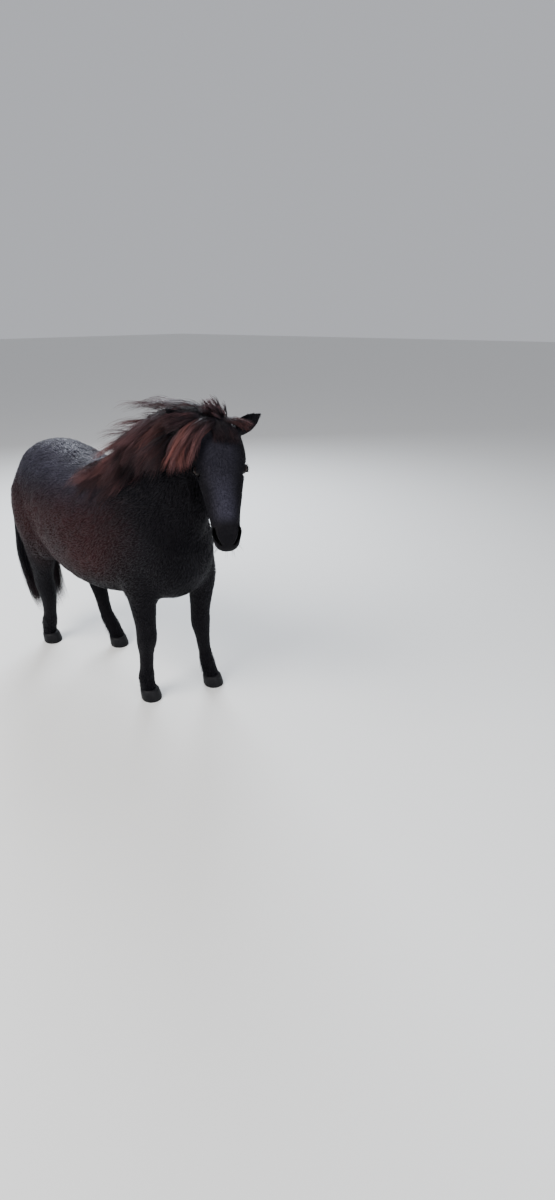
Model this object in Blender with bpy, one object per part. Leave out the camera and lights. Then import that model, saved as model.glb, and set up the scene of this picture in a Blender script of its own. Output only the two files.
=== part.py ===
"""A Shetland pony at life size, standing with its head turned to its right: a still model.

Metres, +Z up. The pony faces +X and its left side is +Y. It is shaped whole, parted by thin cuts,
and then moved so that the origin is on the ground under the middle of its box.
"""

import math
import random

import bmesh
import bpy
from mathutils import Matrix, Vector
from mathutils.bvhtree import BVHTree
from mathutils.kdtree import KDTree

GAP = 0.0003
SLIVER = 0.000004
SEED = 23

# Trunk sections from the buttocks to the breast: x, top, bottom, half width, height of the widest part.
TRUNK = (
    (-0.472, 0.800, 0.720, 0.036, 0.760),
    (-0.457, 0.858, 0.640, 0.082, 0.750),
    (-0.425, 0.910, 0.570, 0.120, 0.742),
    (-0.372, 0.952, 0.520, 0.152, 0.735),
    (-0.306, 0.977, 0.490, 0.172, 0.730),
    (-0.230, 0.985, 0.465, 0.186, 0.715),
    (-0.150, 0.968, 0.438, 0.203, 0.690),
    (-0.060, 0.943, 0.422, 0.216, 0.668),
    (0.035, 0.930, 0.417, 0.222, 0.655),
    (0.125, 0.937, 0.423, 0.212, 0.655),
    (0.210, 0.958, 0.436, 0.195, 0.665),
    (0.290, 0.958, 0.448, 0.180, 0.675),
    (0.370, 0.915, 0.456, 0.166, 0.680),
    (0.435, 0.850, 0.474, 0.148, 0.670),
    (0.480, 0.780, 0.522, 0.115, 0.655),
    (0.505, 0.715, 0.585, 0.060, 0.650),
)

# Neck sections along its own line: x, y, z of the middle, half depth, half width.
NECK = (
    (0.240, 0.000, 0.735, 0.214, 0.152),
    (0.336, 0.000, 0.793, 0.207, 0.136),
    (0.412, 0.002, 0.872, 0.186, 0.112),
    (0.471, 0.008, 0.948, 0.156, 0.090),
    (0.521, 0.018, 1.017, 0.132, 0.080),
    (0.559, 0.024, 1.066, 0.107, 0.071),
    (0.590, 0.020, 1.095, 0.080, 0.058),
)

# The head's own frame: u from the poll to the muzzle, v to its left, w out of the face.
POLL = Vector((0.619, 0.001, 1.148))
HEAD_YAW = math.radians(-42)
HEAD_PITCH = math.radians(52)
# Head sections: u, top, bottom, half width, w of the widest part, share of that width at the jaw.
HEAD = (
    (-0.040, -0.035, -0.125, 0.045, -0.080, 0.80),
    (-0.012, -0.010, -0.160, 0.058, -0.065, 0.78),
    (0.030, 0.006, -0.184, 0.071, -0.052, 0.70),
    (0.072, 0.014, -0.194, 0.081, -0.045, 0.62),
    (0.112, 0.016, -0.188, 0.086, -0.042, 0.56),
    (0.150, 0.012, -0.170, 0.084, -0.043, 0.52),
    (0.188, 0.005, -0.149, 0.075, -0.048, 0.52),
    (0.228, -0.003, -0.131, 0.066, -0.054, 0.56),
    (0.268, -0.010, -0.119, 0.058, -0.060, 0.62),
    (0.308, -0.016, -0.112, 0.050, -0.066, 0.70),
    (0.344, -0.022, -0.110, 0.046, -0.071, 0.78),
    (0.374, -0.031, -0.110, 0.045, -0.075, 0.84),
    (0.396, -0.046, -0.110, 0.040, -0.080, 0.86),
    (0.412, -0.064, -0.104, 0.026, -0.084, 0.90),
)

# Leg girths from inside the trunk to the coronet: height, half length, half width, distance from the middle.
FORELEG = (
    (0.660, 0.105, 0.055, 0.104),
    (0.580, 0.096, 0.058, 0.116),
    (0.520, 0.080, 0.058, 0.118),
    (0.460, 0.062, 0.054, 0.118),
    (0.400, 0.051, 0.048, 0.117),
    (0.345, 0.046, 0.044, 0.116),
    (0.300, 0.0465, 0.045, 0.116),
    (0.265, 0.044, 0.043, 0.116),
    (0.225, 0.037, 0.0355, 0.115),
    (0.180, 0.034, 0.033, 0.115),
    (0.140, 0.0335, 0.0325, 0.115),
    (0.105, 0.040, 0.036, 0.115),
    (0.078, 0.037, 0.035, 0.115),
    (0.058, 0.039, 0.037, 0.115),
    (0.040, 0.041, 0.039, 0.115),
)
HINDLEG = (
    (0.800, 0.115, 0.070, 0.095),
    (0.700, 0.126, 0.078, 0.100),
    (0.620, 0.120, 0.076, 0.104),
    (0.550, 0.102, 0.069, 0.108),
    (0.480, 0.084, 0.058, 0.111),
    (0.420, 0.064, 0.049, 0.108),
    (0.370, 0.058, 0.044, 0.103),
    (0.330, 0.056, 0.045, 0.099),
    (0.285, 0.047, 0.043, 0.095),
    (0.230, 0.040, 0.037, 0.091),
    (0.160, 0.037, 0.035, 0.087),
    (0.110, 0.043, 0.039, 0.085),
    (0.080, 0.038, 0.036, 0.085),
    (0.058, 0.040, 0.038, 0.085),
    (0.040, 0.042, 0.040, 0.085),
)
# Where the middle of each leg stands along x at those heights.
LEG_LINES = {
    "foreleg_right": (0.315, 0.300, 0.300, 0.308, 0.309, 0.308, 0.306, 0.300,
                      0.291, 0.285, 0.279, 0.272, 0.272, 0.276, 0.279),
    "foreleg_left": (0.345, 0.370, 0.385, 0.390, 0.383, 0.376, 0.373, 0.374,
                     0.379, 0.384, 0.390, 0.396, 0.406, 0.414, 0.418),
    "hindleg_right": (-0.340, -0.350, -0.345, -0.342, -0.352, -0.370, -0.390, -0.398,
                      -0.398, -0.405, -0.428, -0.450, -0.458, -0.465, -0.470),
    "hindleg_left": (-0.335, -0.335, -0.318, -0.300, -0.290, -0.290, -0.295, -0.290,
                     -0.275, -0.255, -0.235, -0.205, -0.185, -0.172, -0.165),
}
# Middles and sizes of the shoulder, breast, thigh and stifle.
MUSCLES = (
    ((0.335, 0.106, 0.700), (0.110, 0.058, 0.160)),
    ((0.400, 0.082, 0.610), (0.085, 0.060, 0.085)),
    ((-0.340, 0.096, 0.720), (0.112, 0.072, 0.170)),
    ((-0.255, 0.120, 0.560), (0.075, 0.055, 0.075)),
)

HOOF_HEIGHT = 0.046
HOOF_TOP = (0.0395, 0.0375)
HOOF_BOTTOM = (0.0450, 0.0415)
HOOF_TOE = 0.010
HOOF_FORWARD = 0.004
HOOF_EDGE = 0.003

VOXEL = 0.007
BLEND_PASSES = 60
BODY_TRIANGLES = 3900

HEAD_VOXEL = 0.0026
HEAD_TRIANGLES = 2350
EYE_RADIUS = 0.0180
EYE_CENTRE = Vector((0.163, 0.0665, -0.0345))
EYE_LOOK = Vector((0.12, 0.84, 0.54)).normalized()
CHEEK_RIDGE = ((0.178, 0.058, -0.076), (0.228, 0.048, -0.081), (0.282, 0.038, -0.084))

NOSTRIL = ((0.344, 0.055, -0.030), (0.357, 0.055, -0.034), (0.371, 0.050, -0.040),
           (0.386, 0.040, -0.044), (0.400, 0.026, -0.050))

# The block that parts the head from the neck, in the head's frame: low and high corner, start and tilt.
HEAD_BLOCK_LOW = Vector((0.0, -0.094, -0.235))
HEAD_BLOCK_HIGH = Vector((0.55, 0.25, 0.25))
HEAD_BLOCK_START = -0.022
HEAD_BLOCK_TILT = math.atan2(0.182, 0.983)

# The cuts that part the neck and the legs from the trunk: a point, the way across, length and width.
NECK_CUT = ((0.365, 0.0, 0.825), (0.73, 0.0, 0.68), 0.62, 0.60)
FORELEG_CUT = ((0.0, 0.118, 0.466), (0.0, -0.42, 1.0), 0.27, 0.235)
HINDLEG_CUT = ((-0.342, 0.125, 0.533), (0.80, -0.45, 1.0), 0.50, 0.262)

SURFACES = {
    "coat": ((0.018, 0.015, 0.016), 0.70),
    "hoof": ((0.050, 0.052, 0.060), 0.50),
    "eye": ((0.012, 0.009, 0.008), 0.10),
}

# Rough middles of the body's parts, to tell them apart after the cuts.
PLACES = {
    "torso": (-0.02, 0.0, 0.70),
    "neck": (0.42, 0.0, 0.93),
    "foreleg_right": (0.29, -0.115, 0.25),
    "foreleg_left": (0.38, 0.115, 0.25),
    "hindleg_right": (-0.40, -0.10, 0.30),
    "hindleg_left": (-0.28, 0.10, 0.30),
}

# Rows of the mane: locks, shift of the first along its step, roots left of the crest, shortest length, more
# length at most, width, thickness, height over the neck at the root and at the tip.
MANE = {
    "right": (9, 0.50, -0.022, 0.235, 0.05, 0.054, 0.015, 0.003, 0.006),
    "top": (7, 0.35, -0.008, 0.245, 0.06, 0.052, 0.016, 0.007, 0.013),
    "left": (5, 0.50, 0.018, 0.150, 0.05, 0.044, 0.014, 0.003, 0.006),
}
# The ways that each row runs, from its roots to its tips.
MANE_WAYS = {
    "right": ((-0.34, -0.78, -0.16), (-0.55, -0.40, -0.72), (-0.52, -0.22, -0.82)),
    "top": ((-0.52, -0.62, 0.02), (-0.66, -0.58, -0.38), (-0.64, -0.40, -0.66), (-0.66, -0.32, -0.68)),
    "left": ((-0.45, 0.75, 0.05), (-0.52, 0.40, -0.66), (-0.42, 0.22, -0.84)),
}

FORELOCK = 5
FORELOCK_WAYS = ((0.30, -0.80, 0.25), (0.62, -0.78, -0.05), (0.88, -0.42, -0.35), (1.0, -0.12, -0.25))
SIDE_FORELOCK = 2
SIDE_FORELOCK_WAYS = ((0.05, 0.85, 0.45), (0.35, 0.90, 0.0), (0.55, 0.75, -0.3))

# The middle of the tail from its root to its lowest hair.
TAIL = (
    (-0.425, 0.000, 0.890),
    (-0.465, 0.000, 0.875),
    (-0.494, -0.006, 0.820),
    (-0.506, -0.016, 0.740),
    (-0.508, -0.028, 0.640),
    (-0.506, -0.038, 0.530),
    (-0.504, -0.044, 0.420),
    (-0.503, -0.046, 0.320),
    (-0.505, -0.044, 0.230),
    (-0.508, -0.040, 0.145),
)
TAIL_LOCKS = 11
TAIL_LOCK = (0.060, 0.028)
DOCK_SHARE = 0.46
DOCK_RADIUS = 0.034

EAR_LENGTH = 0.105
EAR_ROOT = Vector((0.042, 0.064, -0.012))
EAR_AIM = {"right": Vector((-0.50, -0.80, 0.30)), "left": Vector((-0.45, 0.57, -0.24))}
# Ear sections: distance along it, half width, depth, and how hollow it is.
EAR = (
    (-0.030, 0.0200, 0.0180, 0.00),
    (0.000, 0.0225, 0.0200, 0.00),
    (0.012, 0.0245, 0.0205, 0.10),
    (0.026, 0.0265, 0.0200, 0.75),
    (0.044, 0.0265, 0.0180, 1.00),
    (0.062, 0.0235, 0.0150, 1.00),
    (0.078, 0.0180, 0.0115, 0.90),
    (0.092, 0.0110, 0.0075, 0.70),
    (EAR_LENGTH, 0.0032, 0.0030, 0.00),
)


def clear_scene():
    for old in list(bpy.data.objects):
        bpy.data.objects.remove(old)


def link(name, builder):
    """A new object from a bmesh, which is freed."""
    mesh = bpy.data.meshes.new(name)
    bmesh.ops.recalc_face_normals(builder, faces=builder.faces)
    builder.to_mesh(mesh)
    builder.free()
    made = bpy.data.objects.new(name, mesh)
    bpy.context.scene.collection.objects.link(made)
    return made


def copy_of(body, name):
    made = bpy.data.objects.new(name, body.data.copy())
    bpy.context.scene.collection.objects.link(made)
    return made


def remove(*bodies):
    for body in bodies:
        bpy.data.objects.remove(body)


def add_modifier(body, kind, **settings):
    made = body.modifiers.new(kind.lower(), kind)
    for name, value in settings.items():
        setattr(made, name, value)
    return made


def apply_modifiers(body):
    graph = bpy.context.evaluated_depsgraph_get()
    mesh = bpy.data.meshes.new_from_object(body.evaluated_get(graph))
    body.modifiers.clear()
    old = body.data
    body.data = mesh
    bpy.data.meshes.remove(old)


def triangle_count(body):
    return sum(len(face.vertices) - 2 for face in body.data.polygons)


def reduce_to(body, triangles):
    share = min(1.0, triangles / triangle_count(body))
    add_modifier(body, "DECIMATE", ratio=share, use_collapse_triangulate=True)
    apply_modifiers(body)


def combine(body, others, operation):
    """One Boolean of `body` with all the `others`, which are then removed."""
    group = bpy.data.collections.new(body.name + "_" + operation.lower())
    for other in others:
        group.objects.link(other)
    made = add_modifier(body, "BOOLEAN", operation=operation, operand_type="COLLECTION", solver="MANIFOLD")
    made.collection = group
    apply_modifiers(body)
    remove(*others)
    bpy.data.collections.remove(group)


def islands(body):
    """The separate closed surfaces of a body, the largest first, as lists of face indices."""
    mesh = bmesh.new()
    mesh.from_mesh(body.data)
    unseen = set(mesh.faces)
    found = []
    while unseen:
        group, edge_of_group = [], [unseen.pop()]
        while edge_of_group:
            face = edge_of_group.pop()
            group.append(face)
            for edge in face.edges:
                for other in edge.link_faces if len(edge.link_faces) == 2 else ():
                    if other in unseen:
                        unseen.discard(other)
                        edge_of_group.append(other)
        found.append((sum(face.calc_area() for face in group), [face.index for face in group]))
    mesh.free()
    return [faces for _, faces in sorted(found, key=lambda item: -item[0])]


def part_of(body, faces, name):
    """A new object made of some faces of `body`."""
    mesh = bmesh.new()
    mesh.from_mesh(body.data)
    keep = set(faces)
    bmesh.ops.delete(mesh, geom=[face for face in mesh.faces if face.index not in keep], context="FACES")
    return link(name, mesh)


def keep_largest(body):
    """Merges what a cut left closer than a few thousandths of a millimetre, and drops loose scraps."""
    mesh = bmesh.new()
    mesh.from_mesh(body.data)
    bmesh.ops.triangulate(mesh, faces=mesh.faces)
    bmesh.ops.dissolve_degenerate(mesh, edges=mesh.edges, dist=SLIVER)
    bmesh.ops.triangulate(mesh, faces=mesh.faces)
    mesh.to_mesh(body.data)
    mesh.free()
    found = islands(body)
    if len(found) > 1:
        trimmed = part_of(body, found[0], body.name + "_trimmed")
        old = body.data
        body.data = trimmed.data
        remove(trimmed)
        bpy.data.meshes.remove(old)


def swollen(body, whole=True, amount=0.0004):
    """A copy with its surface moved outward, or, where it isn't `whole`, one of the body's convex hull."""
    made = copy_of(body, body.name + "_swollen")
    mesh = bmesh.new()
    mesh.from_mesh(made.data)
    if not whole:
        corners = [vertex.co.copy() for vertex in mesh.verts]
        mesh.clear()
        hull = bmesh.ops.convex_hull(mesh, input=[mesh.verts.new(corner) for corner in corners])
        inner = [item for item in hull["geom_interior"] if isinstance(item, bmesh.types.BMVert)]
        bmesh.ops.delete(mesh, geom=inner, context="VERTS")
        bmesh.ops.recalc_face_normals(mesh, faces=mesh.faces)
    mesh.normal_update()
    for vertex in mesh.verts:
        vertex.co += vertex.normal * amount * min(3.0, vertex.calc_shell_factor())
    mesh.to_mesh(made.data)
    mesh.free()
    return made


def add_loft(mesh, rings):
    """One closed body through rings of points that run the same way round."""
    made = [[mesh.verts.new(point) for point in ring] for ring in rings]
    count = len(made[0])
    for near, far in zip(made, made[1:]):
        for i in range(count):
            j = (i + 1) % count
            mesh.faces.new((near[i], near[j], far[j], far[i]))
    mesh.faces.new(list(reversed(made[0])))
    mesh.faces.new(made[-1])


def curve_value(rows, i, t):
    """A row of numbers on the smooth curve from row `i` to the next."""
    last = len(rows) - 1
    nearby = [rows[min(last, max(0, k))] for k in range(i - 1, i + 3)]
    return tuple(
        0.5 * (2 * b + (c - a) * t + (2 * a - 5 * b + 4 * c - d) * t**2 + (3 * b - a - 3 * c + d) * t**3)
        for a, b, c, d in zip(*nearby)
    )


def between(rows, steps):
    """The rows with more rows on a smooth curve between them."""
    out = [curve_value(rows, i, k / steps) for i in range(len(rows) - 1) for k in range(steps)]
    return out + [tuple(rows[-1])]


def power(value, exponent):
    return math.copysign(abs(value) ** exponent, value)


def add_ball(mesh, centre, sizes, place=Matrix()):
    here = place @ Matrix.Translation(centre) @ Matrix.Diagonal((*sizes, 1))
    bmesh.ops.create_uvsphere(mesh, u_segments=20, v_segments=12, radius=1, matrix=here)


def trunk_rings():
    for x, top, bottom, half_width, widest in between(TRUNK, 3):
        ring = []
        for i in range(32):
            side, up = math.cos(math.tau * i / 32), math.sin(math.tau * i / 32)
            reach = top - widest if up > 0 else widest - bottom
            squareness = 0.92 if up > 0 else 0.86
            ring.append((x, half_width * power(side, squareness), widest + reach * power(up, squareness)))
        yield ring


def neck_axes(rows, i):
    """The side and crest directions of a neck section."""
    behind, ahead = rows[max(0, i - 1)], rows[min(len(rows) - 1, i + 1)]
    along = (Vector(ahead[:3]) - Vector(behind[:3])).normalized()
    side = Vector((0, 0, 1)).cross(along).normalized()
    return side, along.cross(side)


def neck_rings():
    rows = between(NECK, 3)
    for i, (x, y, z, half_depth, half_width) in enumerate(rows):
        side, crest = neck_axes(rows, i)
        ring = []
        for k in range(28):
            across, up = math.cos(math.tau * k / 28), math.sin(math.tau * k / 28)
            narrowing = 1 - 0.28 * max(0, up) - 0.10 * max(0, -up)
            reach = half_depth * (1.0 if up > 0 else 1.0 - 0.36 * i / (len(rows) - 1))
            ring.append(Vector((x, y, z)) + side * half_width * across * narrowing + crest * reach * up)
        yield ring


def head_frame():
    """The head's own frame, placed at the poll."""
    turn = Matrix.Rotation(HEAD_YAW, 4, "Z") @ Matrix.Rotation(HEAD_PITCH, 4, "Y")
    return Matrix.Translation(POLL) @ turn


def head_rings():
    for u, top, bottom, half_width, widest, jaw_share in between(HEAD, 3):
        ring = []
        for i in range(32):
            side, up = math.cos(math.tau * i / 32), math.sin(math.tau * i / 32)
            if up > 0:
                height = widest + (top - widest) * power(up, 0.80)
                width = half_width * power(side, 0.80)
            else:
                height = widest + (widest - bottom) * power(up, 0.85)
                width = half_width * power(side, 0.85) * (1 - (1 - jaw_share) * min(1, abs(up) * 1.15))
            ring.append(head_frame() @ Vector((u, width, height)))
        yield ring


def leg_rings(girths, line, side):
    rows = [(*girth, x) for girth, x in zip(girths, line)]
    for height, half_length, half_width, out, x in between(rows, 3):
        yield [
            (
                x + half_length * math.cos(math.tau * i / 20),
                side * (out + half_width * math.sin(math.tau * i / 20)),
                height,
            )
            for i in range(20)
        ]


def leg_plan(name):
    """The girths of a leg and the side it is on."""
    girths = FORELEG if name.startswith("foreleg") else HINDLEG
    return girths, 1 if name.endswith("left") else -1


def build_flesh():
    mesh = bmesh.new()
    add_loft(mesh, list(trunk_rings()))
    add_loft(mesh, list(neck_rings()))
    add_loft(mesh, list(head_rings()))
    for name, line in LEG_LINES.items():
        girths, side = leg_plan(name)
        add_loft(mesh, list(leg_rings(girths, line, side)))
    for (x, y, z), sizes in MUSCLES:
        for side in (-1, 1):
            add_ball(mesh, (x, side * y, z), sizes)
    return link("flesh", mesh)


def blend_weight(point):
    """How far the surface is eased at a point: fully on the trunk, hardly on the head and lower legs."""
    local = head_frame().inverted() @ point
    ahead = min(1.0, max(0.0, local.x / 0.06)) * min(1.0, max(0.0, (local.z + 0.215) / 0.03))
    low = min(1.0, max(0.0, (0.50 - point.z) / 0.10))
    return 1.0 - max(ahead, low) * 0.96


def smooth_flesh(flesh):
    add_modifier(flesh, "REMESH", mode="VOXEL", voxel_size=VOXEL)
    apply_modifiers(flesh)
    group = flesh.vertex_groups.new(name="blend")
    for vertex in flesh.data.vertices:
        group.add([vertex.index], blend_weight(vertex.co), "REPLACE")
    add_modifier(flesh, "SMOOTH", factor=0.5, iterations=BLEND_PASSES, vertex_group="blend")
    apply_modifiers(flesh)


def in_head(u, v, w):
    return head_frame() @ Vector((u, v, w))


def add_tube(mesh, points, radii, sides=10):
    """A closed round tube along points, capped at both ends."""
    rings = []
    last = len(points) - 1
    turns = [math.tau * k / sides for k in range(sides)]
    for i, (point, radius) in enumerate(zip(points, radii)):
        along = (points[min(i + 1, last)] - points[max(i - 1, 0)]).normalized()
        side = (side - along * side.dot(along)).normalized() if i else along.orthogonal().normalized()
        other = along.cross(side)
        rings.append([point + (side * math.cos(turn) + other * math.sin(turn)) * radius for turn in turns])
    add_loft(mesh, rings)


def mirrored(vector, side):
    return Vector((vector.x, vector.y * side, vector.z))


def eye_centre(side):
    return head_frame() @ mirrored(EYE_CENTRE, side)


def eye_axes(side):
    """Where an eye looks, its long way and its way up, in the head's frame."""
    look = mirrored(EYE_LOOK, side)
    along = (Vector((1, 0, -0.12)) - look * look.dot(Vector((1, 0, -0.12)))).normalized()
    return look, along, along.cross(look) * -side


def lid_points(side, upper):
    """The edge of a lid over the eyeball, from its front corner to its back corner."""
    look, along, up = eye_axes(side)
    points = []
    for i in range(9):
        angle = math.pi * i / 8
        sideways = math.cos(angle) * 0.84
        lift = math.sin(angle) * (0.56 if upper else -0.46)
        direction = (look + along * sideways * 1.05 + up * lift).normalized()
        points.append(head_frame() @ (mirrored(EYE_CENTRE, side) + direction * (EYE_RADIUS + 0.0012)))
    return points


def add_face_forms(mesh):
    """The brows, cheeks, lids, nostril wings, lips and chin."""
    frame = head_frame()
    for side in (-1, 1):
        add_ball(mesh, (0.152, side * 0.060, -0.024), (0.036, 0.020, 0.018), frame)
        add_ball(mesh, (0.092, side * 0.044, -0.118), (0.074, 0.030, 0.062), frame)
        crest = [in_head(u, side * v, w) for u, v, w in CHEEK_RIDGE]
        add_tube(mesh, crest, (0.011, 0.009, 0.006))
        for upper, radius in ((True, 0.0048), (False, 0.0040)):
            add_tube(mesh, lid_points(side, upper), [0.0030] + [radius] * 7 + [0.0030])
        add_ball(mesh, (0.362, side * 0.033, -0.058), (0.026, 0.014, 0.022), frame)
    add_ball(mesh, (0.394, 0.0, -0.082), (0.022, 0.036, 0.026), frame)
    add_ball(mesh, (0.360, 0.0, -0.107), (0.036, 0.029, 0.017), frame)


def press(body, points, radii, depth, toward):
    """Pushes the surface in along a line of points, deepest on the line, by a share of `toward`."""
    tree = KDTree(len(points))
    for i, point in enumerate(points):
        tree.insert(point, i)
    tree.balance()
    for vertex in body.data.vertices:
        _, i, distance = tree.find(vertex.co)
        if distance < radii[i]:
            share = 1 - (distance / radii[i]) ** 2
            inward = toward if toward else -vertex.normal
            vertex.co += inward * depth * share


def fine_line(points, count):
    """Points spread evenly over a broken line."""
    out = []
    for i in range(count):
        place = i / (count - 1) * (len(points) - 1)
        k = min(int(place), len(points) - 2)
        out.append(points[k].lerp(points[k + 1], place - k))
    return out


def press_mouth(head, tree):
    """The line of the mouth, round the muzzle from corner to corner."""
    guesses = []
    for i in range(41):
        angle = math.pi * (i / 40 - 0.5)
        reach = max(0.0, math.cos(angle)) ** 0.8
        guesses.append(in_head(0.328 + 0.098 * reach, -0.056 * math.sin(angle), -0.089 - 0.013 * reach))
    points = fine_line([tree.find_nearest(guess)[0] for guess in guesses], 120)
    press(head, points, [0.0052] * 120, 0.0042, None)


def press_nostril(head, tree, side):
    """A curved hollow, from the outer top of the nostril to its inner bottom."""
    points = fine_line([tree.find_nearest(in_head(u, side * v, w))[0] for u, v, w in NOSTRIL], 40)
    radii = [0.0045 + 0.0050 * math.sin(math.pi * min(1.0, 0.12 + 0.9 * i / 39)) for i in range(40)]
    inward = head_frame().to_3x3() @ Vector((-0.62, -0.46 * side, -0.45))
    press(head, points, radii, 0.013, inward)


def open_eye(head, side):
    """Pushes the skin between the lids under the surface of the eyeball."""
    look, along, up = eye_axes(side)
    frame = head_frame()
    inverse = frame.inverted()
    centre = mirrored(EYE_CENTRE, side)
    for vertex in head.data.vertices:
        offset = inverse @ vertex.co - centre
        a, b, c = offset.dot(along), offset.dot(up), offset.dot(look)
        if 0 < c < 0.04 and (a / 0.0150) ** 2 + (b / 0.0088) ** 2 < 1:
            low = math.sqrt(max(0.0, EYE_RADIUS**2 - a * a - b * b)) - 0.003
            if c > low:
                vertex.co = frame @ (centre + along * a + up * b + look * low)


def build_eye(name, side, radius):
    mesh = bmesh.new()
    place = Matrix.Translation(eye_centre(side))
    bmesh.ops.create_uvsphere(mesh, u_segments=16, v_segments=8, radius=radius, matrix=place)
    return link(name, mesh)


def ear_axes(name):
    """The ear's own axes: along it, across it, and out of its opening."""
    aim = EAR_AIM[name].normalized()
    opening = Vector((0.25, 0.10 if name == "left" else -0.10, 1.0))
    opening = (opening - aim * opening.dot(aim)).normalized()
    return aim, aim.cross(opening), opening


def ear_rings(name, start):
    """Rings of an ear from `start` metres along it, crescents that open toward the front."""
    side = 1 if name == "left" else -1
    aim, across, opening = ear_axes(name)
    root = mirrored(EAR_ROOT, side)
    for along, half_width, depth, hollow in EAR:
        if along < start:
            continue
        curl = 0.010 * (max(0.0, along) / EAR_LENGTH) ** 2
        middle = root + aim * along + opening * curl
        wall = min(0.0060, half_width * 0.36)
        outer = [math.radians(-118 + 236 * k / 10) for k in range(11)]
        ring = [middle + across * half_width * math.sin(a) - opening * depth * math.cos(a) for a in outer]
        inner = [math.radians(112 - 224 * k / 6) for k in range(7)]
        for a in inner:
            sideways = across * (half_width - wall) * math.sin(a)
            deep = sideways - opening * (depth - wall) * math.cos(a)
            front = sideways + opening * depth * (0.42 + 0.25 * math.cos(a))
            ring.append(middle + deep * hollow + front * (1 - hollow))
        yield [head_frame() @ point for point in ring]


def build_ear(name):
    mesh = bmesh.new()
    add_loft(mesh, list(ear_rings(name, -0.001)))
    bmesh.ops.triangulate(mesh, faces=mesh.faces)
    return link("ear_" + name, mesh)


def ground_block(size=4.0):
    """A large block that takes away all that is below the tops of the hooves."""
    mesh = bmesh.new()
    top = HOOF_HEIGHT + GAP
    place = Matrix.Translation((0, 0, top - size / 2)) @ Matrix.Diagonal((size, size, size, 1))
    bmesh.ops.create_cube(mesh, size=1, matrix=place)
    return link("ground", mesh)


def head_box(name, grown=0.0, back=0.0):
    """A block round the head from the poll forward, `back` metres further back if wished."""
    mesh = bmesh.new()
    tilt = Matrix.Translation((HEAD_BLOCK_START, 0, 0)) @ Matrix.Rotation(-HEAD_BLOCK_TILT, 4, "Y")
    low = HEAD_BLOCK_LOW - Vector((back + grown, grown, grown))
    size = HEAD_BLOCK_HIGH - low
    place = head_frame() @ tilt @ Matrix.Translation(low + size / 2) @ Matrix.Diagonal((*size, 1))
    bmesh.ops.create_cube(mesh, size=1, matrix=place)
    return link(name, mesh)


def build_head(flesh):
    head = copy_of(flesh, "head")
    combine(head, [head_box("head_room", 0.010, 0.020)], "INTERSECT")
    keep_largest(head)
    forms = bmesh.new()
    add_face_forms(forms)
    for name in ("left", "right"):
        rings = [ring for ring in ear_rings(name, -1.0)][:2]
        add_loft(forms, rings)
    forms.from_mesh(head.data)
    forms.to_mesh(head.data)
    forms.free()
    add_modifier(head, "REMESH", mode="VOXEL", voxel_size=HEAD_VOXEL)
    add_modifier(head, "SMOOTH", factor=0.5, iterations=6)
    apply_modifiers(head)
    tree = BVHTree.FromObject(head, bpy.context.evaluated_depsgraph_get())
    press_mouth(head, tree)
    for side in (-1, 1):
        press_nostril(head, tree, side)
        open_eye(head, side)
    reduce_to(head, HEAD_TRIANGLES)
    return head


def thin_plate(point, normal, length, width):
    """A plate as thin as a gap across `normal`, `length` along x and `width` along y before it is tilted."""
    mesh = bmesh.new()
    up = normal.normalized()
    side = up.cross(Vector((1, 0, 0))).normalized()
    turn = Matrix((side.cross(up), side, up)).transposed().to_4x4()
    place = Matrix.Translation(point) @ turn @ Matrix.Diagonal((length, width, GAP, 1))
    bmesh.ops.create_cube(mesh, size=1, matrix=place)
    return link("cut", mesh)


def leg_cut(name, line):
    """The plate that parts a leg from the trunk."""
    girths, side = leg_plan(name)
    point, normal, length, width = FORELEG_CUT if girths is FORELEG else HINDLEG_CUT
    middle = mirrored(Vector(point), side)
    if girths is FORELEG:
        middle.x = line[3]
    return thin_plate(middle, mirrored(Vector(normal), side), length, width)


def part_body(flesh):
    """The torso, the neck and the four legs, parted by thin cuts."""
    body = copy_of(flesh, "body")
    combine(body, [head_box("head_room", 0.0, -0.015)], "DIFFERENCE")
    keep_largest(body)
    reduce_to(body, BODY_TRIANGLES)
    point, normal, length, width = NECK_CUT
    cuts = [head_box("head_room", GAP), ground_block()]
    cuts.append(thin_plate(Vector(point), Vector(normal), length, width))
    cuts += [leg_cut(name, line) for name, line in LEG_LINES.items()]
    combine(body, cuts, "DIFFERENCE")
    made = {}
    for faces in islands(body)[:8]:
        corners = [body.data.vertices[v].co for f in faces for v in body.data.polygons[f].vertices]
        middle = sum(corners, Vector()) / len(corners)
        name = min(PLACES, key=lambda key: (Vector(PLACES[key]) - middle).length)
        if name not in made:
            made[name] = part_of(body, faces, name)
    remove(body)
    return made


def build_hoof(name, line):
    """A hoof with a flat sole under the coronet."""
    girths, side = leg_plan(name)
    out = side * girths[-2][3]
    rings = []
    for share in (0.0, 0.12, 0.55, 0.93, 1.0):
        edge = HOOF_EDGE if share in (0.0, 1.0) else 0.0
        half_length = HOOF_BOTTOM[0] + (HOOF_TOP[0] - HOOF_BOTTOM[0]) * share - edge
        half_width = HOOF_BOTTOM[1] + (HOOF_TOP[1] - HOOF_BOTTOM[1]) * share - edge
        middle = line[-2] + HOOF_FORWARD + HOOF_TOE * (1 - share)
        ring = []
        for k in range(16):
            ahead, aside = math.cos(math.tau * k / 16), math.sin(math.tau * k / 16)
            ring.append((middle + half_length * ahead, out + half_width * aside, HOOF_HEIGHT * share))
        rings.append(ring)
    mesh = bmesh.new()
    add_loft(mesh, rings)
    return link(name.replace("leg", "hoof"), mesh)


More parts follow.
